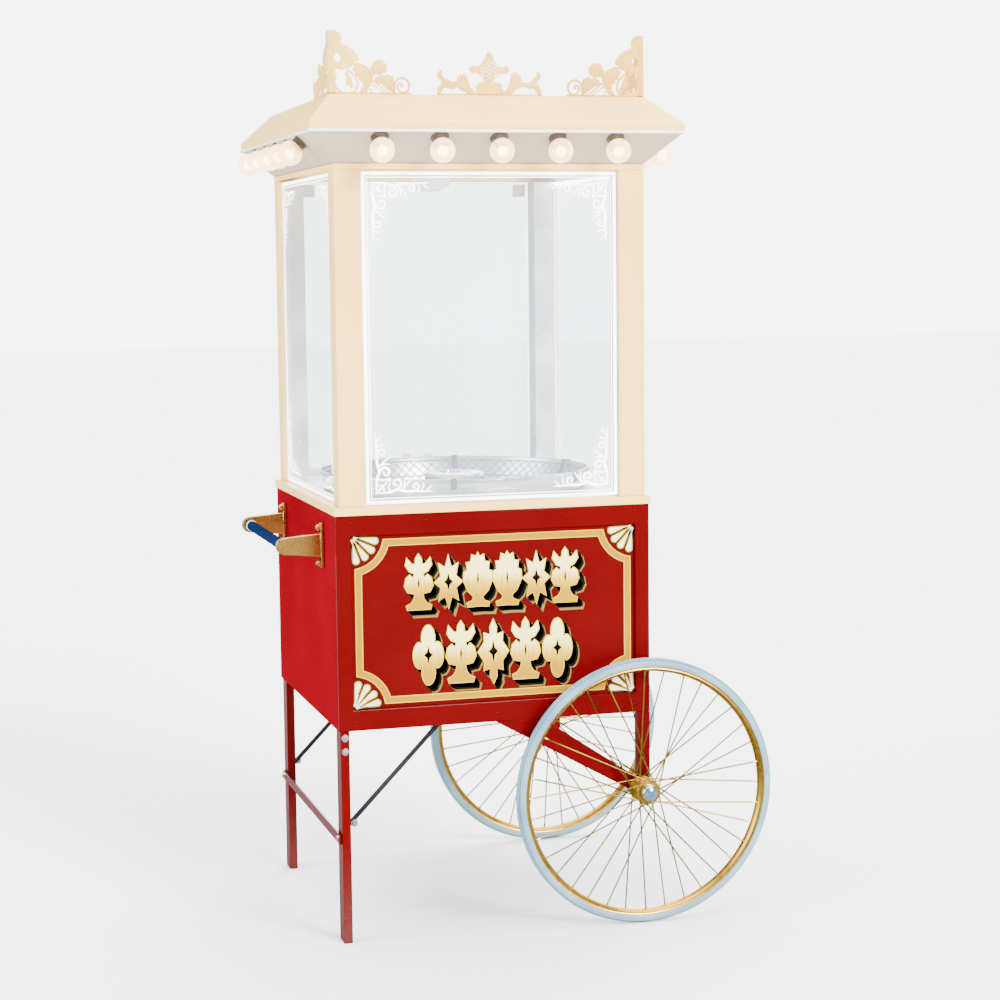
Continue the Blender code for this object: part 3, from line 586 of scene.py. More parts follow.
def gilded(name, low, high):
    """Cream at the top, blended down by the brush into gold leaf colour."""
    paint = Paint(name, Specular_IOR_Level=0.10)
    share = (paint.axis(2) - low) / (high - low)
    streaks = paint.noise(300.0, 2.0, stretch=(1, 1, 0.05))
    level = share + (streaks - 0.5) * 0.30
    stops = ((0.22, (0.38, 0.200, 0.003)), (0.44, (0.62, 0.38, 0.012)), (0.64, (0.95, 0.80, 0.32)))
    paint.set(Base_Color=paint.ramp(level, *stops))
    paint.set(Roughness=paint.ramp(paint.noise(14.0), (0.3, 0.24), (0.7, 0.42)))
    paint.bump(streaks, 0.00008, 0.3)
    return paint.material


hatched = Paint("hatched_gold", Roughness=0.35, Specular_IOR_Level=0.10)
slant = (hatched.axis(0) * 0.55 + hatched.axis(2)) * 1500.0
line = hatched.add("ShaderNodeMath", {"operation": "SINE"}, slant + hatched.noise(60.0) * 3.0)
stripes = hatched.ramp(line * 0.5 + 0.5, (0.30, (0.03, 0.018, 0.004)), (0.52, (0.30, 0.18, 0.03)))
hatched.set(Base_Color=stripes)

SHADE_STEPS = 5
SHADE_FALL = (0.0105, -0.0115)  # how far the drop shade runs to the right and down
for tier, low, high, pitch, wide, shapes in (
    ("upper", 0.780, 0.905, 0.0715, 0.0620, (FLEURON, STAR, SHELL, SHELL, STAR, FLEURON)),
    ("lower", 0.602, 0.742, 0.0790, 0.0660, (QUATREFOIL, FLEURON, LOZENGE, FLEURON, QUATREFOIL)),
):
    face = gilded("gilding_" + tier, low, high)
    layers = {"edge": [], "hatch": [], "shade": [], "rim": [], "face": []}
    for index, (shape, pierced) in enumerate(shapes):
        middle = ((index - (len(shapes) - 1) / 2) * pitch - 0.006, (low + high) / 2)
        tall = (high - low) / 2
        outline = [(x * wide, y * tall) for x, y in shape]
        hole = [(x * wide, y * tall) for x, y in pierced]
        for step in range(SHADE_STEPS + 1):
            share = step / SHADE_STEPS
            for layer, grow, reach, depth in (
                ("edge", 0.0034, 1.55, 1), ("hatch", 0.0024, 1.50, 2), ("shade", 0.0022, 1.0, 3)
            ):
                shift = (middle[0] + SHADE_FALL[0] * share * reach, middle[1] + SHADE_FALL[1] * share * reach)
                place = on_front(MID_X + shift[0], shift[1], FILM_Y)
                layers[layer].append(flat_sheet([grown(outline, grow)], PAINT_FILM * depth, place))
        place = on_front(MID_X + middle[0], middle[1], FILM_Y)
        layers["rim"].append(flat_sheet([grown(outline, 0.0010), hole], PAINT_FILM * 4, place))
        inside = [grown(outline, -0.0010), grown(hole, 0.0016)]
        layers["face"].append(flat_sheet(inside, PAINT_FILM * 5, place))
    for layer, material in (
        ("edge", paints["black_paint"]), ("hatch", hatched.material), ("shade", paints["black_paint"]),
        ("rim", paints["pale_gold_paint"]), ("face", face),
    ):
        fit(merged(layers[layer]), "sign_" + tier + "_" + layer, "wagon", "sign_enamel", material)

# --- Counter, posts and header --------------------------------------------------------------------
# Cream-enamelled steel: a folded counter tray, four square posts and the header that ties them. The posts'
# inner faces are lined with stainless angle, riveted in pairs, and a stainless plate lies on the counter.

cream_enamel = enamel("cream_enamel", (0.95, 0.60, 0.18), (0.92, 0.57, 0.16), 0.30, 0.15)
stainless = metal("brushed_stainless", (0.93, 0.93, 0.94), 0.42, grain=(1, 1, 26), scale=70.0)
dressed("counter", "cream_enamel", cream_enamel, 0.0020, 3)
POSTS = ("post_front_left", "post_front_right", "post_rear_left", "post_rear_right")
for node in POSTS:
    dressed(node, "cream_enamel", cream_enamel, 0.0022, 3)
dressed("header", "cream_enamel", cream_enamel, 0.0010)

LINER = 0.0008
RIVET_HEIGHTS = (1.128, 1.406, 1.681)
counter_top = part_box("counter")[1].z
liners, liner_rivets = [], []
dome_rings = [(0.0042, -0.0004), (0.0042, 0.0004), (0.0032, 0.0016), (0.0015, 0.0023), (0.0004, 0.0025)]
small_dome = turned(12, dome_rings)
for node in POSTS:
    low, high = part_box(node)
    middle = (low + high) / 2
    in_x = 1 if middle.x < MID_X else -1
    in_y = 1 if middle.y < 0 else -1
    face_x = (high.x if in_x > 0 else low.x) + in_x * 0.0003
    face_y = (high.y if in_y > 0 else low.y) + in_y * 0.0003
    width = high.x - low.x - 0.006
    proud_x, proud_y = face_x + in_x * LINER, face_y + in_y * LINER
    far_x, far_y = face_x - in_x * width, face_y - in_y * width
    outline = [
        (face_x, face_y), (face_x, far_y), (proud_x, far_y),
        (proud_x, proud_y), (far_x, proud_y), (far_x, face_y),
    ]
    liners.append(flat_sheet([outline], high.z - low.z - 0.006, Matrix.Translation((0, 0, low.z + 0.003))))
    for height in RIVET_HEIGHTS:
        for spread in (-0.013, 0.013):
            at_x = facing((proud_x, middle.y + spread, height), (in_x, 0, 0))
            at_y = facing((middle.x + spread, proud_y, height), (0, in_y, 0))
            liner_rivets += [at_x, at_y]
fit(merged(liners), "post_liners", "wagon", "stainless", stainless)
fit(strewn(small_dome, liner_rivets), "liner_rivets", "wagon", "stainless", zinc)

inner_x, inner_y, post_x = 0.3560, 0.3555, 0.3070
notched = mirrored([
    (0, -inner_y), (post_x, -inner_y), (post_x, -post_x), (inner_x, -post_x),
    (inner_x, post_x), (post_x, post_x), (post_x, inner_y), (0, inner_y),
])
PLATE_HOLE_R = 0.3245
plate_hole = arc((0, 0), PLATE_HOLE_R, 0, 357, 119)
on_counter = Matrix.Translation((MID_X, 0, counter_top + 0.0001))
plate = flat_sheet([notched, plate_hole], 0.0011, on_counter, 0.0003)
fit(plate, "counter_plate", "wagon", "stainless", stainless)

# --- Canopy ---------------------------------------------------------------------------------------
# A hipped sheet roof over a sloping soffit, cream enamel outside. Beneath, the soffit's enamel is a darker
# warm grey, painted shade under the roof. A rolled bead runs along the foot of the fascia, white as a painted
# highlight along its lip, and a cream one where the soffit meets the header. A round white lamp in a zinc
# collar is fixed to the ceiling.

roof_enamel = enamel("roof_enamel", (0.96, 0.62, 0.17), (0.93, 0.58, 0.15), 0.34, 0.15)
# The soffit is the roof's cream enamel painted a darker warm grey: painted shade beneath the roof.
soffit_painted_shade_enamel = enamel("soffit_painted_shade_enamel", (0.40, 0.34, 0.26), (0.37, 0.31, 0.23), 0.40, 0.15)
# The eave bead's white is a painted highlight along the fascia's lower lip.
painted_highlight_bead = enamel("painted_highlight_bead_enamel", (0.95, 0.93, 0.88), (0.92, 0.90, 0.84), 0.22, 0.5)
dressed("roof", "canopy_enamel", roof_enamel, 0.0016)
dressed("soffit", "canopy_enamel", soffit_painted_shade_enamel, 0.0010)
soffit_low, soffit_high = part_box("soffit")
EAVE_X, EAVE_Y, EAVE_Z = (soffit_high.x - soffit_low.x) / 2, soffit_high.y, soffit_high.z


def square_ring(half_x, half_y, wide, low, tall, edge):
    """A rectangular frame lying flat about the cabinet's middle."""
    outer = [(-half_x, -half_y), (half_x, -half_y), (half_x, half_y), (-half_x, half_y)]
    inner = [(x - (wide if x > 0 else -wide), y - (wide if y > 0 else -wide)) for x, y in outer]
    return flat_sheet([outer, inner], tall, Matrix.Translation((MID_X, 0, low)), edge)


# The eave bead, white as a painted highlight along the lip.
bead = square_ring(EAVE_X + 0.0012, EAVE_Y + 0.0012, 0.006, EAVE_Z - 0.0045, 0.0065, 0.0018)
fit(bead, "eave_bead", "wagon", "canopy_enamel", painted_highlight_bead)
header_low, header_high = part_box("header")
header_x = (header_high.x - header_low.x) / 2
bead = square_ring(header_x + 0.0022, header_high.y + 0.0022, 0.0045, header_high.z - 0.0052, 0.0050, 0.0014)
fit(bead, "header_bead", "wagon", "cream_enamel", cream_enamel)
ceiling_dome = enamel("white_dome_enamel", (0.93, 0.93, 0.92), (0.88, 0.88, 0.87), 0.25, 0.5)
lamp_low, lamp_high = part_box("ceiling_lamp")
lamp_at = (lamp_low + lamp_high) / 2
lamp_r = (lamp_high.x - lamp_low.x) / 2
deep = lamp_high.z - lamp_low.z
shade_rings = [(lamp_r, 0), (lamp_r, 0.004), (lamp_r * 0.93, 0.007), (lamp_r * 0.90, deep * 0.45)]
for angle in range(12, 85, 12):
    a = radians(angle)
    shade_rings.append((lamp_r * 0.9 * cos(a), deep * (0.45 + 0.55 * sin(a))))
on_ceiling = facing((lamp_at.x, lamp_at.y, lamp_high.z), (0, 0, -1))
dome = turned(48, shade_rings, on_ceiling)
fit(dome, "ceiling_dome", "wagon", "white_enamel", ceiling_dome, "ceiling_lamp")
collar_rings = [
    (lamp_r + 0.0028, 0.0), (lamp_r + 0.0028, 0.0022), (lamp_r + 0.0006, 0.0045), (lamp_r + 0.0002, 0.0),
]
collar = turned(48, collar_rings, on_ceiling, hollow=True)
fit(collar, "ceiling_lamp_collar", "wagon", "stainless", zinc)

# --- Canopy lamps ---------------------------------------------------------------------------------
# Five lit globe lamps under each eave, each in a ridged dark brown socket fixed square to the soffit. A thin
# glass globe holds a looped filament on its stem, round a glowing core.

socket_brown = enamel("socket_bakelite", (0.085, 0.060, 0.045), (0.050, 0.035, 0.026), 0.28, 0.5)
globe_glass = Paint("lamp_globe_glass", Roughness=0.06, Alpha=0.62, Specular_IOR_Level=0.6)
glow = globe_glass.ramp(globe_glass.noise(38.0, 2.0), (0.36, (1.0, 0.42, 0.10)), (0.58, (1.0, 0.80, 0.42)))
globe_glass.set(Base_Color=(0.85, 0.66, 0.42), Emission_Color=glow, Emission_Strength=3.0)
filament_wire = Paint("filament_glow", Base_Color=(1.0, 0.7, 0.4), Emission_Strength=16.0)
heat = filament_wire.ramp(filament_wire.noise(400.0), (0.3, (1.0, 0.62, 0.25)), (0.7, (1.0, 0.86, 0.60)))
filament_wire.set(Emission_Color=heat)
GLOBE_R = 0.0285
LAMP_PITCH = 0.139
CENTRE_OFF = 0.0400  # from a socket's foot to the middle of its globe
ridges = [(0.0215, -0.0006), (0.0215, 0.0020), (0.0178, 0.0034)]
for rung in range(5):
    up = rung * 0.0036
    ridges += [(0.0178, 0.0044 + up), (0.0160, 0.0056 + up), (0.0160, 0.0064 + up)]
ridges += [(0.0175, 0.0232), (0.0150, 0.0240)]
globe_rings = [(0.0118, 0.0120), (0.0122, 0.0160)]
for angle in range(36, 180, 12):
    a = radians(angle)
    globe_rings.append((GLOBE_R * sin(a), CENTRE_OFF - GLOBE_R * cos(a)))
globe_rings[-1] = (0.0012, CENTRE_OFF + GLOBE_R)
for side, out in (("front", (0, -1)), ("rear", (0, 1)), ("left", (-1, 0)), ("right", (1, 0))):
    low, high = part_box("lamps_" + side)
    along = 0 if out[0] == 0 else 1
    rise = EAVE_Z - soffit_low.z
    run = (EAVE_Y - header_high.y) if along == 0 else (EAVE_X - header_x)
    slope = hypot(rise, run)
    drop = Vector((out[0] * rise, out[1] * rise, -run)) / slope
    socket = turned(24, ridges)
    globe = turned(28, globe_rings)
    bpy.ops.object.select_all(action="DESELECT")
    bpy.ops.mesh.primitive_torus_add(
        location=(0, 0, CENTRE_OFF - 0.002), rotation=(pi / 2, 0, 0), major_radius=0.0085,
        minor_radius=0.0011, major_segments=16, minor_segments=6)
    filament = bpy.context.object
    only(filament)
    bpy.ops.object.transform_apply(location=True, rotation=True, scale=True)
    stem = turned(8, [(0.0030, 0.014), (0.0018, 0.020), (0.0012, 0.029)])
    core = turned(16, [
        (0.0016, CENTRE_OFF - 0.010), (0.0100, CENTRE_OFF - 0.005), (0.0125, CENTRE_OFF + 0.002),
        (0.0090, CENTRE_OFF + 0.010), (0.0020, CENTRE_OFF + 0.0135),
    ])
    filament = merged([filament, stem, core])
    places = []
    for index in range(5):
        centre = Vector((0, 0, 0))
        centre[along] = (low[along] + high[along]) / 2 + (index - 2) * LAMP_PITCH
        across_side = 1 - along
        outermost = (high if out[across_side] > 0 else low)[across_side]
        centre[across_side] = outermost - out[across_side] * GLOBE_R
        centre.z = low.z + GLOBE_R
        places.append(facing(centre - drop * CENTRE_OFF, drop))
    fit(strewn(socket, places), "lamp_sockets_" + side, "wagon", "black_plastic", socket_brown)
    lit = strewn(globe, places)
    fit(lit, "lamp_globes_" + side, "wagon", "lamp_glass", globe_glass.material, "lamps_" + side)
    fit(strewn(filament, places), "lamp_filaments_" + side, "wagon", "lamp_glass", filament_wire.material)

# --- Roof crests ----------------------------------------------------------------------------------
# Pierced scroll castings in cream enamel, standing on the edge of the roof's flat: one in the middle of the
# front and one round each front corner, its second wing running back along the side. Stems stand proud of
# the leaves.

crest_enamel = enamel("crest_enamel", (0.95, 0.62, 0.15), (0.66, 0.36, 0.07), 0.30, 0.1)
MM = 0.001


def lobed(points):
    """An outline in millimetres from (x, y) and (x, y, bow): a side with a bow swells outwards as an arc that
    deep, in parts of half its length. The points run anticlockwise."""
    outline = []
    for start, end in zip(points, points[1:] + points[:1]):
        a, b = Vector(start[:2]) * MM, Vector(end[:2]) * MM
        outline.append(tuple(a))
        if len(end) == 3:
            side = b - a
            out = Vector((side.y, -side.x)) * 0.5 * end[2]
            for i in range(1, 7):
                t = i / 7
                outline.append(tuple(a + side * t + out * 4 * t * (1 - t)))
    return outline


def stem(points, place, steps=6):
    """A half-round stem through (x, y, radius) in millimetres, standing on the leaves' face."""
    bpy.ops.object.select_all(action="DESELECT")
    bpy.ops.curve.primitive_nurbs_path_add()
    obj = bpy.context.object
    obj.data.splines.clear()
    obj.data.dimensions = "3D"
    spline = obj.data.splines.new("NURBS")
    spline.points.add(len(points) - 1)
    for point, (x, y, radius) in zip(spline.points, points):
        point.co = (x * MM, y * MM, 0, 1)
        point.radius = radius * MM
    spline.order_u = 4
    spline.use_endpoint_u = True
    obj.data.resolution_u = steps
    obj.data.bevel_depth = 1.0
    obj.data.bevel_resolution = 2
    obj.data.use_fill_caps = True
    bpy.ops.object.convert(target="MESH")
    obj = bpy.context.object
    obj.data.transform(place @ Matrix.Diagonal((1, 1, 0.85, 1)))
    return edited(obj, 50)


CREST_THICK = 0.0040
CORNER_LEAVES = [
    [(0, 0), (13, 0), (13, 20), (9, 40), (14, 57), (30, 62), (50, 67), (64, 73), (66, 80, 0.5), (58, 89, 0.5),
     (54, 98, 0.5), (47, 100, 0.4), (40, 107, 0.5), (27, 103, 0.4), (28, 110, 0.5), (22, 116, 0.4),
     (26, 128, 0.6), (18, 137, 0.5), (8, 141, 0.5), (0, 140, 0.2)],
    [(66, 0), (78, 1), (86, 14), (97, 28), (100, 42), (92, 54), (66, 66), (56, 62), (58, 47, 0.6),
     (66, 37, 0.6), (76, 27, 0.6), (77, 16, 0.5), (70, 8, 0.3)],
    [(90, 52), (98, 44), (108, 45, 0.3), (121, 47, 0.6), (130, 59, 0.7), (124, 71, 0.7), (112, 76, 0.6),
     (99, 67, 0.5)],
    [(97, 27), (118, 22), (135, 9), (147, 2), (150, 14), (147, 32, 0.3), (138, 42, 0.6), (126, 41, 0.6),
     (114, 40, 0.5), (103, 33, 0.4)],
    [(36, 22), (44, 20, 0.5), (52, 14, 0.5), (50, 26, 0.4), (46, 38, 0.3), (38, 50, 0.2), (34, 46),
     (39, 36, 0.2)],
    [(0, 0), (187, 0), (187, 4), (0, 4)],
]
CORNER_HOLES = [[(17, 68), (26, 80), (17, 92), (8, 80)], [(17, 53), (27, 51, -0.4), (36, 59), (25, 60, -0.4)]]
CORNER_STEMS = [
    [(3, 2, 3.2), (4, 50, 3.0), (3, 95, 2.6), (8, 125, 1.8), (14, 134, 1.0)],
    [(14, 44, 2.2), (7, 28, 2.6), (12, 8, 2.8), (34, -1, 2.8), (58, 3, 2.6), (66, 22, 2.6), (58, 42, 2.6),
     (38, 54, 2.4)],
    [(12, 58, 1.8), (34, 56, 2.6), (52, 68, 2.8), (76, 66, 2.8), (95, 50, 2.6), (98, 30, 2.4), (88, 14, 2.2),
     (72, 3, 2.0)],
    [(20, 70, 1.2), (36, 84, 1.6), (50, 92, 1.0)],
    [(94, 50, 2.0), (104, 58, 2.2), (114, 64, 1.6), (120, 60, 1.0)],
    [(98, 28, 2.2), (118, 34, 2.2), (138, 30, 1.6), (146, 34, 1.0)],
    [(95, 22, 1.8), (110, 13, 1.8), (126, 2, 1.6)],
    [(103, 26, 1.8), (120, 14, 1.8), (137, 2, 1.6)],
    [(82, 3, 1.6), (84, 14, 1.8), (94, 14, 1.8), (95, 3, 1.6)],
    [(148, 2, 2.2), (148, 26, 2.6), (158, 38, 2.8), (176, 36, 2.8), (186, 20, 2.8), (178, 4, 2.6),
     (165, 3, 2.2), (154, 12, 2.2), (157, 26, 2.4), (168, 25, 2.4), (167, 16, 2.2), (162, 18, 2.6)],
    [(60, 60, 1.4), (74, 46, 1.6), (84, 30, 1.4), (80, 16, 1.0)],
]
CENTRE_HALF = [
    [(0, 27), (6, 28), (14, 46), (24, 50, -0.3), (38, 48), (48, 57, 0.3), (39, 67, 0.3), (27, 62),
     (7, 86, -0.35), (5, 97), (0, 98)],
    [(0, 0), (30, 0), (31, 17, 0.5), (19, 28, 0.7), (6, 27, 0.5), (0, 31)],
]
CENTRE_LEG = [
    (29, 1), (48, 0), (58, 7), (75, 18, -0.3), (95, 14, -0.3), (108, 16), (117, 0), (125, 0), (124, 15, 0.2),
    (113, 30, 0.2), (122, 38), (124, 48), (114, 58), (113, 45, -0.4), (104, 36), (90, 30, -0.3),
    (77, 31), (76, 40), (70, 48, 0.6), (59, 52, 0.7), (52, 41, 0.4), (45, 18),
]
CENTRE_STEMS = [
    [(30, 2, 2.2), (48, 14, 2.6), (54, 34, 2.6), (62, 44, 2.4), (68, 38, 2.2), (62, 34, 1.8)],
    [(46, 6, 2.2), (70, 22, 2.6), (96, 24, 2.6), (112, 22, 2.4), (121, 8, 2.4), (120, 1, 2.2)],
    [(100, 26, 1.8), (114, 36, 2.2), (118, 50, 1.6), (115, 56, 0.8)],
    [(7, 30, 1.4), (18, 46, 1.8), (34, 56, 1.8), (45, 58, 1.2)],
    [(40, 60, 1.2), (24, 62, 1.8), (10, 74, 1.8), (5, 94, 1.4)],
    [(0, 2, 2.0), (12, 10, 2.2), (24, 14, 2.0), (26, 22, 1.6), (18, 24, 1.2)],
]


def casting(leaves, holes, stems, place):
    """Leaves and stems cast as one, from sheets drawn in XY and facing +Z."""
    parts = []
    for index, leaf in enumerate(leaves):
        cut = [lobed(hole) for hole in holes] if index == 0 else []
        parts.append(flat_sheet([lobed(leaf)] + cut, CREST_THICK, place, 0.0012))
    front = place @ Matrix.Translation((0, 0, CREST_THICK - 0.0006))
    return parts + [stem(points, front) for points in stems]


for node, along in (("crest_left", 1), ("crest_right", -1)):
    low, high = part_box(node)
    corner_x = low.x if along > 0 else high.x
    wing = casting(CORNER_LEAVES, CORNER_HOLES, CORNER_STEMS, on_front(0, 0, 0))
    round_corner = Matrix.Rotation(pi / 2, 4, "Z") @ Matrix.Diagonal((0.92, -1, 1, 1))
    crest = merged(wing + [copied(part, round_corner) for part in wing])
    at_corner = Matrix.Translation((corner_x, low.y + CREST_THICK, low.z))
    crest.data.transform(at_corner @ Matrix.Diagonal((along, 1, 1, 1)))
    if along < 0:
        crest.data.flip_normals()
    fit(crest, node + "_casting", "wagon", "cream_enamel", crest_enamel, node)

low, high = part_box("crest_centre")
centre_place = on_front((low.x + high.x) / 2, low.z, low.y + CREST_THICK)
lattice = []
for row in range(-3, 4):
    for column in range(-3, 4):
        x, y = (row - column) * 4.4, 58 + (row + column) * 4.6
        if abs(x) + abs(y - 58) * 0.85 < 22 and abs(x) * abs(y - 58) < 62:
            lattice.append([(x, y - 2.5), (x + 2.3, y), (x, y + 2.5), (x - 2.3, y)])
leaves = [half + [(-p[0], *p[1:]) for p in reversed(half) if p[0] > 0] for half in CENTRE_HALF]
parts = casting([leaves[0]], lattice, [], centre_place)
other_leg = [(-p[0], *p[1:]) for p in CENTRE_LEG]
foot_bar = [(-124, 0), (124, 0), (124, 3), (-124, 3)]
parts += casting([leaves[1], CENTRE_LEG, other_leg, foot_bar], [], CENTRE_STEMS, centre_place)
parts += casting([], [], [[(-x, y, r) for x, y, r in points] for points in CENTRE_STEMS], centre_place)
fit(merged(parts), "crest_centre_casting", "wagon", "cream_enamel", crest_enamel, "crest_centre")

# --- Panes and their etching ----------------------------------------------------------------------
# Clear float glass, faintly blue, slid between the posts. A scrolled corner is etched white in each corner
# of the three fixed panes, inside a double etched line; the etching is given a painted glow that keeps it
# bright white. The rear pair are hung as doors.

pane_glass = Paint("pane_glass", Roughness=0.05, Alpha=0.13, Specular_IOR_Level=0.45)
smudge = pane_glass.ramp(pane_glass.noise(5.0, 5.0, stretch=(1, 1, 0.5)), (0.30, 0.0), (0.72, 1.0))
pane_glass.set(Base_Color=pane_glass.mix(smudge, (0.50, 0.70, 0.86), (0.62, 0.78, 0.90)))
pane_glass.set(Roughness=smudge * 0.07 + 0.03)
# The etched white emits light: a painted glow that keeps the etching bright white.
etched = Paint("etched_white_painted_glow", Roughness=0.6, Base_Color=(0.95, 0.95, 0.94), Emission_Color=(1.0, 0.99, 0.96))
frost = etched.ramp(etched.noise(180.0, 3.0), (0.3, (0.86, 0.88, 0.90)), (0.62, (0.97, 0.97, 0.96)))
etched.set(Base_Color=frost, Emission_Strength=4.5)
for node in ("glass_front", "glass_left", "glass_right", "rear_door_left", "rear_door_right"):
    repaint(node, pane_glass.material)


def spiral(centre, start_r, end_r, start, sweep, thick, steps=12):
    """Points (x, y, radius) winding in from one radius to another, the stem thinning and ending in a bud."""
    points = []
    for i in range(steps + 1):
        t = i / steps
        reach = start_r + (end_r - start_r) * t
        a = radians(start + sweep * t)
        points.append((centre[0] + reach * cos(a), centre[1] + reach * sin(a), thick * (1 - 0.55 * t)))
    return points[:-1] + [(*points[-1][:2], thick * 1.1)]


half_motif = [
    [(4, 4, 1.2), (14, 14, 3.2), (27, 27, 1.0)],
    [(10, 6, 1.2), (30, 5, 2.4), (46, 12, 2.8)] + spiral((46, 24), 12, 3, -90, 400, 2.6),
    [(46, 12, 1.6), (66, 6, 2.6), (84, 8, 2.6)] + spiral((84, 17), 9, 2.5, -90, 360, 2.2),
    [(84, 8, 1.4), (100, 5, 2.2), (112, 8, 1.2), (120, 5, 0.5)],
    [(60, 10, 0.8), (64, 20, 2.8), (62, 33, 0.6)],
    [(56, 11, 0.8), (70, 22, 2.4), (76, 34, 0.5)],
    [(96, 7, 0.7), (102, 15, 2.4), (100, 25, 0.5)],
    [(34, 8, 0.8), (28, 18, 2.4), (34, 28, 0.6)],
    [(106, 6, 0.6), (113, 13, 1.8), (118, 19, 0.4)],
    [(20, 6, 0.8), (22, 13, 2.0), (19, 19, 0.6)],
]
flat_stem = Matrix.Diagonal((1.18, 1.18, 0.08, 1))
corner_parts = [stem(points, flat_stem, 4) for points in half_motif]
corner_parts += [stem([(y, x, r) for x, y, r in points], flat_stem, 4) for points in half_motif]
corner_parts.append(turned(12, [(0.0046, 0.0), (0.0040, 0.0003)], Matrix.Translation((0.0370, 0.0370, 0))))
corner = edited(merged(corner_parts), 60)
etchings, lines = [], []
for node, turn in (("glass_front", 0), ("glass_left", -pi / 2), ("glass_right", pi / 2)):
    low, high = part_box(node)
    middle = (low + high) / 2
    half_z = (high.z - low.z) / 2
    half_x = max(high.x - low.x, high.y - low.y) / 2
    half_deep = min(high.x - low.x, high.y - low.y) / 2
    pane_place = Matrix.Translation(middle) @ Matrix.Rotation(turn, 4, "Z")
    pane_place = pane_place @ Matrix.Translation((0, -half_deep, 0)) @ Matrix.Rotation(pi / 2, 4, "X")
    for side in (1, -1):
        for end in (1, -1):
            at = Matrix.Translation((-side * (half_x - 0.021), -end * (half_z - 0.022), 0))
            etchings.append(pane_place @ at @ Matrix.Diagonal((side, end, 1, 1)))
    for inset, wide in ((0.0035, 0.0080), (0.0150, 0.0022)):
        rims = []
        for by in (inset, inset + wide):
            x, z = half_x - by, half_z - by
            rims.append([(-x, -z), (x, -z), (x, z), (-x, z)])
        lines.append(flat_sheet(rims, 0.00030, pane_place))
fit(strewn(corner, etchings), "pane_scrolls", "wagon", "clear_glass", etched.material)
fit(merged(lines), "pane_border_lines", "wagon", "clear_glass", etched.material)

# --- Rear glass doors -----------------------------------------------------------------------------
# Frameless glass doors hung on the rear posts by clamped stainless hinges, each with a round pull fixed low
# down by the middle.


def block(low, high, edge=0.0008):
    """A box between two corners, its edges rolled."""
    bpy.ops.object.select_all(action="DESELECT")
    bpy.ops.mesh.primitive_cube_add(size=1, location=(Vector(low) + Vector(high)) / 2)
    obj = bpy.context.object
    obj.scale = Vector(high) - Vector(low)
    only(obj)
    bpy.ops.object.transform_apply(location=True, rotation=True, scale=True)
    return rolled_edges(obj, edge)


pull_rings = [(0.0085, -0.0002), (0.0085, 0.0010), (0.0050, 0.0018), (0.0045, 0.0085), (0.0100, 0.0110),
              (0.0116, 0.0140), (0.0116, 0.0165), (0.0098, 0.0192), (0.0060, 0.0202)]
screw_rings = [(0.0036, -0.0003), (0.0036, 0.0006), (0.0026, 0.0013)]
for node, hinge_side in (("rear_door_left", -1), ("rear_door_right", 1)):
    low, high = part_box(node)
    hinge_x = low.x if hinge_side < 0 else high.x
    free_x = high.x if hinge_side < 0 else low.x
    pull = turned(32, pull_rings, facing((free_x + hinge_side * 0.028, high.y, low.z + 0.045), (0, 1, 0)))
    fit(pull, node + "_pull", node, "stainless", stainless)
    parts = []
    for height in (low.z + 0.020, high.z - 0.020):
        near, far = sorted((hinge_x - hinge_side * 0.002, hinge_x - hinge_side * 0.034))
        parts.append(block((near, high.y, height - 0.016), (far, high.y + 0.0032, height + 0.016)))
        parts.append(block((near, low.y - 0.0022, height - 0.016), (far, low.y, height + 0.016)))
        for spread in (-0.008, 0.008):
            screw_at = (hinge_x - hinge_side * 0.020, high.y + 0.0030, height + spread)
            parts.append(turned(16, screw_rings, facing(screw_at, (0, 1, 0))))
    fit(merged(parts), node + "_hinge_clamps", node, "stainless", stainless)

# --- Bowl, net and spinner ------------------------------------------------------------------------
# A spun stainless bowl with a rolled rim, a wire net clipped inside it, and the spinner head on its spindle.
# The motor and the machine shelf are below.

bowl_steel = metal("spun_stainless", (0.93, 0.92, 0.90), 0.28, grain=(1, 1, 40), scale=60.0)
wire_steel = metal("net_wire", (0.34, 0.32, 0.30), 0.36, scale=300.0)
dark_strap = metal("clip_steel", (0.055, 0.055, 0.060), 0.40)
bowl_low, bowl_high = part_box("bowl")
BOWL_R = (bowl_high.y - bowl_low.y) / 2
dressed("bowl", "stainless", bowl_steel, 0.0006)
dressed("spindle", "stainless", bowl_steel, 0.0004)
dressed("motor", "dark_steel", dark_steel, 0.0012)
dressed("machine_shelf", "stainless", stainless, 0.0005)
bowl_mid = ((bowl_low.x + bowl_high.x) / 2, 0)


def ring(radius, thick, height, centre, around=96, sides=10):
    """A rolled bead lying flat, pressed a little flatter than it is wide."""
    bpy.ops.object.select_all(action="DESELECT")
    bpy.ops.mesh.primitive_torus_add(
        location=(*centre, height), major_radius=radius, minor_radius=thick, major_segments=around,
        minor_segments=sides)
    obj = bpy.context.object
    only(obj)
    bpy.ops.object.mode_set(mode="EDIT")
    bpy.ops.mesh.select_all(action="SELECT")
    bpy.ops.transform.resize(value=(1, 1, 0.85), center_override=(*centre, height))
    bpy.ops.object.mode_set(mode="OBJECT")
    bpy.ops.object.transform_apply(location=True, rotation=True, scale=True)
    return edited(obj, 50)


beads = [
    ring(BOWL_R - 0.0032, 0.0030, bowl_high.z - 0.0032, bowl_mid),
    ring(BOWL_R - 0.0085, 0.0013, 1.0525, bowl_mid),
    ring(BOWL_R - 0.0105, 0.0011, 1.0435, bowl_mid),
]
fit(merged(beads), "bowl_rim_beads", "bowl", "stainless", bowl_steel)


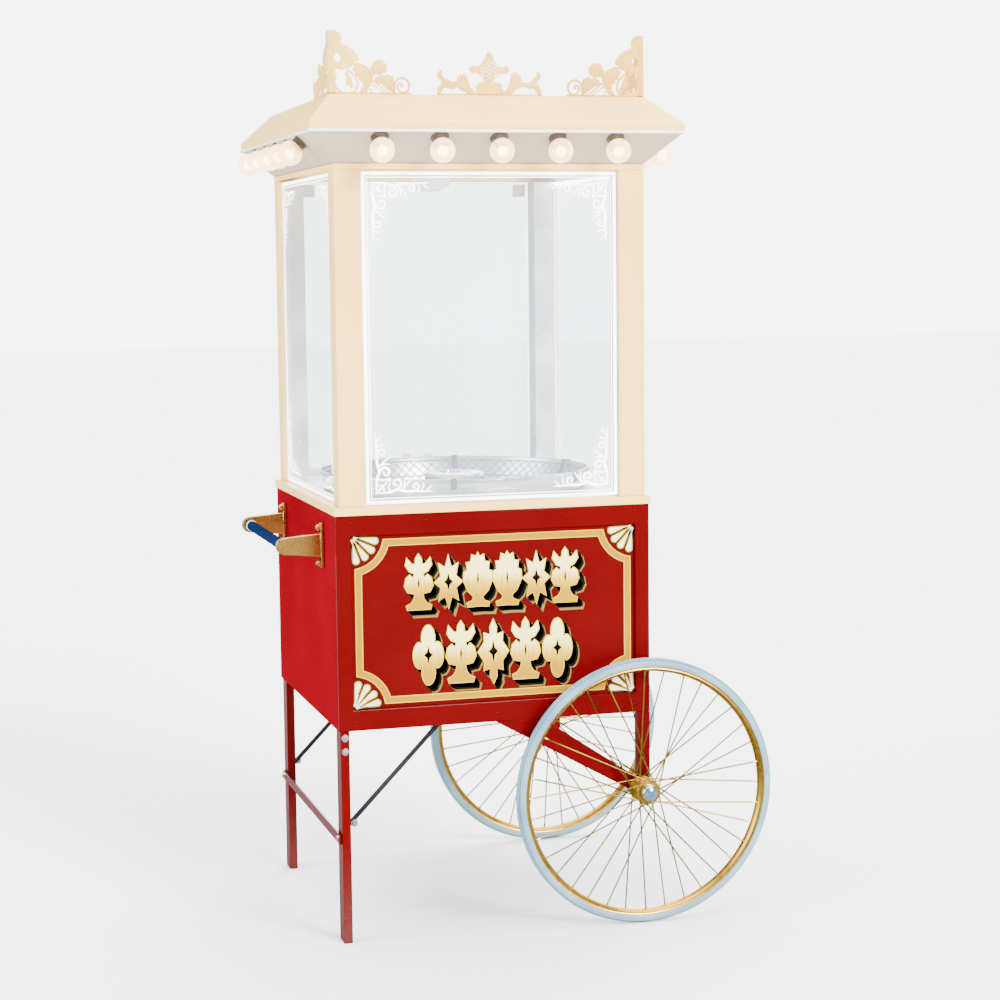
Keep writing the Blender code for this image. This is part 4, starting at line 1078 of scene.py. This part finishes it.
def wire(points, radius, sides=1):
    """A wire through these points."""
    bpy.ops.object.select_all(action="DESELECT")
    bpy.ops.curve.primitive_nurbs_path_add()
    obj = bpy.context.object
    obj.data.splines.clear()
    obj.data.dimensions = "3D"
    spline = obj.data.splines.new("POLY")
    spline.points.add(len(points) - 1)
    for point, co in zip(spline.points, points):
        point.co = (*co, 1)
    obj.data.bevel_depth = radius
    obj.data.bevel_resolution = sides
    obj.data.use_fill_caps = True
    bpy.ops.object.convert(target="MESH")
    return edited(bpy.context.object, 60)


net_low, net_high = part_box("floss_net")
TOP_R = (net_high.y - net_low.y) / 2
BOTTOM_R = TOP_R - 0.029
STRANDS = 84
lean = radians(15)
strand_points = []
for i in range(7):
    t = i / 6
    reach = BOTTOM_R + (TOP_R - BOTTOM_R) * t
    height = net_low.z + 0.001 + (net_high.z - net_low.z - 0.002) * t
    strand_points.append((reach * cos(lean * t), reach * sin(lean * t), height))
at_bowl = Matrix.Translation((*bowl_mid, 0))
for name, hand in (("net_strands_left", 1), ("net_strands_right", -1)):
    strand = wire(strand_points, 0.00105, 0)
    mirror = Matrix.Diagonal((1, hand, 1, 1))
    places = [at_bowl @ Matrix.Rotation(2 * pi * i / STRANDS, 4, "Z") @ mirror for i in range(STRANDS)]
    fit(strewn(strand, places), name, "bowl", "stainless", wire_steel, *(["floss_net"] if hand > 0 else []))
hoops = [
    ring(TOP_R - 0.0004, 0.0016, net_high.z - 0.001, bowl_mid),
    ring(BOTTOM_R, 0.0016, net_low.z + 0.0015, bowl_mid),
    ring((TOP_R + BOTTOM_R) / 2, 0.0010, (net_low.z + net_high.z) / 2, bowl_mid),
]
fit(merged(hoops), "net_hoops", "bowl", "stainless", wire_steel)

top = bowl_high.z
strap = [
    (TOP_R - 0.030, 0.996), (TOP_R - 0.0285, 0.996), (TOP_R - 0.0015, top + 0.0008),
    (BOWL_R + 0.0008, top + 0.0008), (BOWL_R + 0.0008, top - 0.024), (BOWL_R + 0.0022, top - 0.024),
    (BOWL_R + 0.0022, top + 0.0022), (TOP_R - 0.0025, top + 0.0022),
]
upright = Matrix.Rotation(pi / 2, 4, "X") @ Matrix.Translation((0, 0, -0.007))
clip = flat_sheet([strap], 0.014, upright, 0.0003)
clips = [at_bowl @ Matrix.Rotation(radians(15 + 60 * i), 4, "Z") for i in range(6)]
fit(strewn(clip, clips), "net_clips", "bowl", "stainless", dark_strap)

head_low, head_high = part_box("spinner_head")
head_r = (head_high.x - head_low.x) / 2
deep = head_high.z - head_low.z
head_rings = [(0.022, 0), (head_r * 0.80, 0.0005), (head_r * 0.97, 0.004), (head_r, 0.008), (head_r, 0.0105),
              (head_r * 0.965, 0.0112), (head_r * 0.965, 0.0270), (head_r, 0.0277), (head_r, 0.0325),
              (head_r * 0.94, 0.0370), (head_r * 0.55, 0.0385), (head_r * 0.50, 0.0300), (0.014, 0.0290),
              (0.013, deep - 0.003), (0.010, deep)]
head_place = Matrix.Translation((*bowl_mid, head_low.z))
head = turned(72, head_rings, head_place)
fit(head, "spinner_head_casting", "spinner", "stainless", bowl_steel, "spinner_head")
fin = block((head_r * 0.955, -0.0007, 0.0125), (head_r * 0.990, 0.0007, 0.0262), 0.0002)
fins = [head_place @ Matrix.Rotation(2 * pi * i / 60, 4, "Z") for i in range(60)]
fit(strewn(fin, fins), "spinner_head_fins", "spinner", "dark_steel", dark_strap)

# --- Wheels ---------------------------------------------------------------------------------------
# Pressed brass rims with solid rubber tyres, laced with thirty-six crossed wire spokes on flanged brass hubs,
# each nipple seated in the rim. The tyres are coloured blue-grey as painted blue shade and reflection over
# rubber that is pale grey. A chromed cap with a blue boss closes each hub.

wheel_brass = metal("wheel_brass", (0.66, 0.37, 0.045), 0.30, scale=90.0, dull=0.62)
spoke_brass = metal("spoke_brass", (0.30, 0.185, 0.026), 0.36, scale=90.0, dull=0.62)
# The tyre's blue-grey tones are painted blue shade and reflection over pale grey rubber; the noise varies
# them at random.
tyre_blue_shade_rubber = Paint("rubber_painted_blue_shade", Specular_IOR_Level=0.3)
worn = tyre_blue_shade_rubber.ramp(tyre_blue_shade_rubber.noise(9.0, 5.0), (0.32, 0.0), (0.70, 1.0))
tyre_blue_shade_rubber.set(Base_Color=tyre_blue_shade_rubber.mix(worn, (0.105, 0.215, 0.290), (0.190, 0.320, 0.385)))
tyre_blue_shade_rubber.set(Roughness=worn * 0.2 + 0.45)
tyre_blue_shade_rubber.bump(tyre_blue_shade_rubber.noise(260.0, 3.0), 0.0002, 0.4)
seam_rubber = enamel("seam_rubber", (0.030, 0.060, 0.085), (0.020, 0.045, 0.065), 0.5, 0.3)
chrome = metal("cap_chrome", (0.62, 0.72, 0.82), 0.08, scale=60.0, dull=0.85)
boss_blue = enamel("boss_enamel", (0.020, 0.11, 0.20), (0.014, 0.08, 0.16), 0.15, 0.5)
SPOKES = 36
for wheel, out in (("front", -1), ("rear", 1)):
    body = "wheel_" + wheel
    tyre_low, tyre_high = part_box("tyre_" + wheel)
    rim_low, rim_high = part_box("rim_" + wheel)
    hub_low, hub_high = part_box("hub_" + wheel)
    cap_low, cap_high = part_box("hub_cap_" + wheel)
    axle = (tyre_low + tyre_high) / 2
    wheel_place = facing(axle, (0, out, 0))
    tyre_r = (tyre_high.x - tyre_low.x) / 2
    rim_r = (rim_high.x - rim_low.x) / 2
    half_tyre = (tyre_high.y - tyre_low.y) / 2
    half_rim = (rim_high.y - rim_low.y) / 2
    section = []
    for angle in range(-52, 233, 15):
        a = radians(angle)
        swell = 1.0 if sin(a) > 0 else 0.8
        radius = tyre_r - half_tyre * 0.92 + half_tyre * 0.92 * sin(a) * swell
        section.append((radius, half_tyre * cos(a)))
    section = [(radius, height) for radius, height in section if radius > rim_r - 0.006]
    tyre = turned(128, section, wheel_place, hollow=True, angle=40)
    fit(tyre, "tyre_" + wheel + "_moulded", body, "tyre", tyre_blue_shade_rubber.material, "tyre_" + wheel)
    seams = [ring(tyre_r - 0.0045, 0.0006, side * half_tyre * 0.72, (0, 0), 128, 6) for side in (1, -1)]
    seams += [ring(rim_r + 0.0010, 0.0010, side * (half_rim + 0.0006), (0, 0), 128, 6) for side in (1, -1)]
    seams = merged(seams)
    seams.data.transform(wheel_place)
    fit(seams, "tyre_" + wheel + "_seams", body, "tyre", seam_rubber)
    lip, well = rim_r - 0.0008, rim_r - 0.0158
    rim_section = [
        (lip, -half_rim), (lip, -half_rim + 0.0016), (lip - 0.005, -half_rim + 0.0030),
        (lip - 0.006, half_rim - 0.0030), (lip, half_rim - 0.0016), (lip, half_rim), (lip - 0.0035, half_rim),
        (lip - 0.0060, half_rim - 0.0012), (lip - 0.0085, half_rim - 0.0005),
        (lip - 0.0120, half_rim - 0.0040), (well, 0.0040), (well - 0.0008, 0), (well, -0.0040),
        (lip - 0.0120, -half_rim + 0.0040), (lip - 0.0085, -half_rim + 0.0005),
        (lip - 0.0060, -half_rim + 0.0012), (lip - 0.0035, -half_rim),
    ]
    rim = turned(128, rim_section, wheel_place, hollow=True, angle=28)
    fit(rim, "rim_" + wheel + "_pressed", body, "wheel_brass", wheel_brass, "rim_" + wheel)
    spokes, nipples = [], []
    for index in range(SPOKES):
        flange = 1 if index % 2 else -1
        crossing = 1 if index % 4 < 2 else -1
        angle = 2 * pi * index / SPOKES
        root = angle + crossing * radians(58)
        tip = Vector(((well + 0.001) * cos(angle), (well + 0.001) * sin(angle), flange * 0.002))
        base = Vector((0.0262 * cos(root), 0.0262 * sin(root), flange * 0.0235))
        spokes.append(wire([base, base.lerp(tip, 0.5), tip], 0.00180))
        nipples.append(facing(tip, base - tip))
    laced = merged(spokes)
    laced.data.transform(wheel_place)
    fit(laced, "spokes_" + wheel, body, "wheel_brass", spoke_brass)
    nipple = turned(8, [(0.0022, -0.001), (0.0022, 0.007), (0.0016, 0.013), (0.0012, 0.0135)])
    seated = strewn(nipple, [wheel_place @ place for place in nipples])
    fit(seated, "nipples_" + wheel, body, "wheel_brass", wheel_brass)
    half_hub = (hub_high.y - hub_low.y) / 2
    barrel = [
        (0.0140, -half_hub), (0.0165, -half_hub + 0.0010), (0.0165, -half_hub + 0.0035),
        (0.0295, -half_hub + 0.0045), (0.0305, -half_hub + 0.0060), (0.0295, -half_hub + 0.0080),
        (0.0175, -half_hub + 0.0095), (0.0150, -0.010), (0.0150, 0.010), (0.0175, half_hub - 0.0095),
        (0.0295, half_hub - 0.0080), (0.0305, half_hub - 0.0060), (0.0295, half_hub - 0.0045),
        (0.0165, half_hub - 0.0035), (0.0165, half_hub - 0.0010), (0.0140, half_hub),
    ]
    hub_place = facing(Vector((axle.x, (hub_low.y + hub_high.y) / 2, axle.z)), (0, out, 0))
    hub = turned(56, barrel, hub_place)
    fit(hub, "hub_" + wheel + "_turned", body, "wheel_brass", wheel_brass, "hub_" + wheel)
    cap_r = (cap_high.x - cap_low.x) / 2
    cap_face = cap_low.y if out < 0 else cap_high.y
    cap_root = cap_high.y if out < 0 else cap_low.y
    reach = abs(cap_face - cap_root)
    cap_rings = [(cap_r, 0), (cap_r, 0.0035), (cap_r * 0.93, 0.0048), (cap_r * 0.93, 0.0062)]
    for angle in range(15, 66, 10):
        a = radians(angle)
        cap_rings.append((cap_r * 0.93 * cos(a), 0.0062 + (reach - 0.0062) * sin(a)))
    cap_rings.append((cap_r * 0.36, reach * 0.91))
    cap_place = facing(Vector((axle.x, cap_root, axle.z)), (0, out, 0))
    cap = turned(56, cap_rings, cap_place)
    fit(cap, "hub_cap_" + wheel + "_domed", body, "cap_chrome", chrome, "hub_cap_" + wheel)
    boss_rings = [(cap_r * 0.40, reach * 0.85), (cap_r * 0.40, reach * 0.97), (cap_r * 0.30, reach * 0.995)]
    fit(turned(40, boss_rings, cap_place), "hub_cap_" + wheel + "_boss", body, "cap_chrome", boss_blue)
    trim = ring(cap_r * 0.97, 0.0011, 0.0050, (0, 0), 56, 8)
    trim.data.transform(cap_place)
    fit(trim, "hub_cap_" + wheel + "_ring", body, "wheel_brass", wheel_brass)

# --- Push handle ----------------------------------------------------------------------------------
# A blue-black tube between two cast brass brackets, with pale collars at its ends. Each bracket is held to
# the side sheet by two domed brass nuts.

cast_brass = metal("cast_brass", (0.72, 0.42, 0.10), 0.26, scale=160.0, dull=0.72, depth=0.0003)
grip_enamel = enamel("grip_enamel", (0.0060, 0.016, 0.050), (0.004, 0.011, 0.036), 0.22, 0.0)
collar_enamel = enamel("collar_enamel", (0.50, 0.66, 0.72), (0.42, 0.58, 0.64), 0.25, 0.5)
for node in ("handle_bracket_front", "handle_bracket_rear"):
    dressed(node, "cast_brass", cast_brass, 0.0018, 3)
dressed("grip", "grip_blue", grip_enamel, 0.0008)
grip_low, grip_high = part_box("grip")
grip_mid = (grip_low + grip_high) / 2
grip_r = (grip_high.z - grip_low.z) / 2
sleeve_rings = [
    (grip_r + 0.0004, 0.0), (grip_r + 0.0016, 0.0006), (grip_r + 0.0016, 0.0100), (grip_r + 0.0004, 0.0106),
    (grip_r - 0.0010, 0.0106), (grip_r - 0.0010, 0.0),
]
collars = []
for end, out in ((grip_low.y, 1), (grip_high.y, -1)):
    at_end = facing((grip_mid.x, end + out * 0.0182, grip_mid.z), (0, out, 0))
    collars.append(turned(40, sleeve_rings, at_end, hollow=True))
fit(merged(collars), "grip_collars", "wagon", "grip_blue", collar_enamel)
acorn = turned(6, [(0.0085, -0.0004), (0.0085, 0.0052), (0.0074, 0.0062)], angle=20)
dome = turned(20, [(0.0068, 0.0060), (0.0066, 0.0085), (0.0054, 0.0115), (0.0030, 0.0135), (0.0008, 0.0140)])
seat = turned(28, [(0.0115, -0.0006), (0.0115, 0.0010), (0.0105, 0.0016)])
nut = merged([acorn, dome, seat])
nuts = []
for node in ("handle_bracket_front", "handle_bracket_rear"):
    low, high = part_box(node)
    for height in (high.z - 0.0105, low.z + 0.0095):
        nuts.append(facing((high.x - 0.0055, (low.y + high.y) / 2, height), (-1, 0, 0)))
fit(strewn(nut, nuts), "handle_nuts", "wagon", "cast_brass", cast_brass)

# --- Rear fittings --------------------------------------------------------------------------------
# A brushed control plate held by four screws, two rocker switches in raised frames, a heat knob in a ring of
# dial marks, and the storage door's bow handle and hinges.

black_plastic = enamel("black_plastic", (0.012, 0.012, 0.013), (0.018, 0.018, 0.019), 0.34, 0.4)
repaint("control_panel", stainless)
plate_low, plate_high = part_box("control_panel")
screws = [facing((x, plate_high.y, z), (0, 1, 0)) for x in (plate_low.x + 0.008, plate_high.x - 0.008)
          for z in (plate_low.z + 0.008, plate_high.z - 0.008)]
pan_head = turned(20, [(0.0038, -0.0004), (0.0038, 0.0008), (0.0030, 0.0018), (0.0012, 0.0022)])
fit(strewn(pan_head, screws), "control_panel_screws", "wagon", "stainless", zinc)
frames = []
for node in ("heat_switch", "lamp_switch"):
    low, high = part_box(node)
    rims = []
    for by in (0.0042, 0.0010):
        left, right, foot, head = low.x - by, high.x + by, low.z - by, high.z + by
        rims.append([(left, foot), (right, foot), (right, head), (left, head)])
    on_plate = Matrix.Translation((0, plate_high.y + 0.0026, 0)) @ Matrix.Rotation(pi / 2, 4, "X")
    frames.append(flat_sheet(rims, 0.0028, on_plate, 0.0005))
    dressed(node, "black_plastic", black_plastic, 0.0009, 3)
fit(merged(frames), "switch_frames", "wagon", "black_plastic", black_plastic)
dressed("heat_knob", "black_plastic", black_plastic, 0.0010, 3)
knob_low, knob_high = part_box("heat_knob")
knob_mid = (knob_low + knob_high) / 2
pointer_low = (knob_mid.x - 0.0012, knob_high.y - 0.0006, knob_mid.z + 0.002)
pointer_high = (knob_mid.x + 0.0012, knob_high.y + 0.0006, knob_high.z - 0.003)
pointer = block(pointer_low, pointer_high, 0.0003)
fit(pointer, "knob_pointer", "heat_knob", "white_enamel", paints["white_paint"])
DIAL_R = 0.0225
ticks = []
for index in range(11):
    a = radians(-135 + 27 * index)
    turn = Matrix.Translation((knob_mid.x, 0, knob_mid.z)) @ Matrix.Rotation(a, 4, "Y")
    long = 0.006 if index % 5 == 0 else 0.004
    tick_low = (-0.0005, plate_high.y - 0.0002, DIAL_R)
    tick_high = (0.0005, plate_high.y + 0.0002, DIAL_R + long)
    tick = block(tick_low, tick_high, 0.0001)
    tick.data.transform(turn)
    ticks.append(tick)
fit(merged(ticks), "dial_marks", "wagon", "black_plastic", black_plastic)

door_low, door_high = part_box("storage_door")
bow_z = (door_low.z + door_high.z) / 2
bow_x = door_low.x + 0.045
HALF_BOW = 0.045
bow = [
    (bow_x, door_high.y - 0.001, bow_z - HALF_BOW), (bow_x, door_high.y + 0.020, bow_z - HALF_BOW),
    (bow_x, door_high.y + 0.026, bow_z),
    (bow_x, door_high.y + 0.020, bow_z + HALF_BOW), (bow_x, door_high.y - 0.001, bow_z + HALF_BOW),
]
handle = wire(bow, 0.0045, 3)
rose_rings = [(0.0095, -0.0004), (0.0095, 0.0016), (0.0080, 0.0026)]
rose_spots = [(bow_x, door_high.y, bow_z + at) for at in (-HALF_BOW, HALF_BOW)]
roses = [turned(24, rose_rings, facing(spot, (0, 1, 0))) for spot in rose_spots]
fit(merged([handle] + roses), "storage_door_handle", "storage_door", "stainless", stainless)
knuckles = []
for height in (door_low.z + 0.035, door_high.z - 0.035):
    leaf_low = (door_high.x - 0.030, door_high.y, height - 0.020)
    leaf_high = (door_high.x - 0.002, door_high.y + 0.0016, height + 0.020)
    leaf = block(leaf_low, leaf_high, 0.0004)
    knuckle_at = Matrix.Translation((door_high.x - 0.00305, door_high.y - 0.0002, height))
    pin = turned(20, [(0.0020, -0.020), (0.0024, -0.019), (0.0024, 0.019), (0.0020, 0.020)], knuckle_at)
    knuckles += [leaf, pin]
fit(merged(knuckles), "storage_door_hinges", "storage_door", "stainless", stainless)
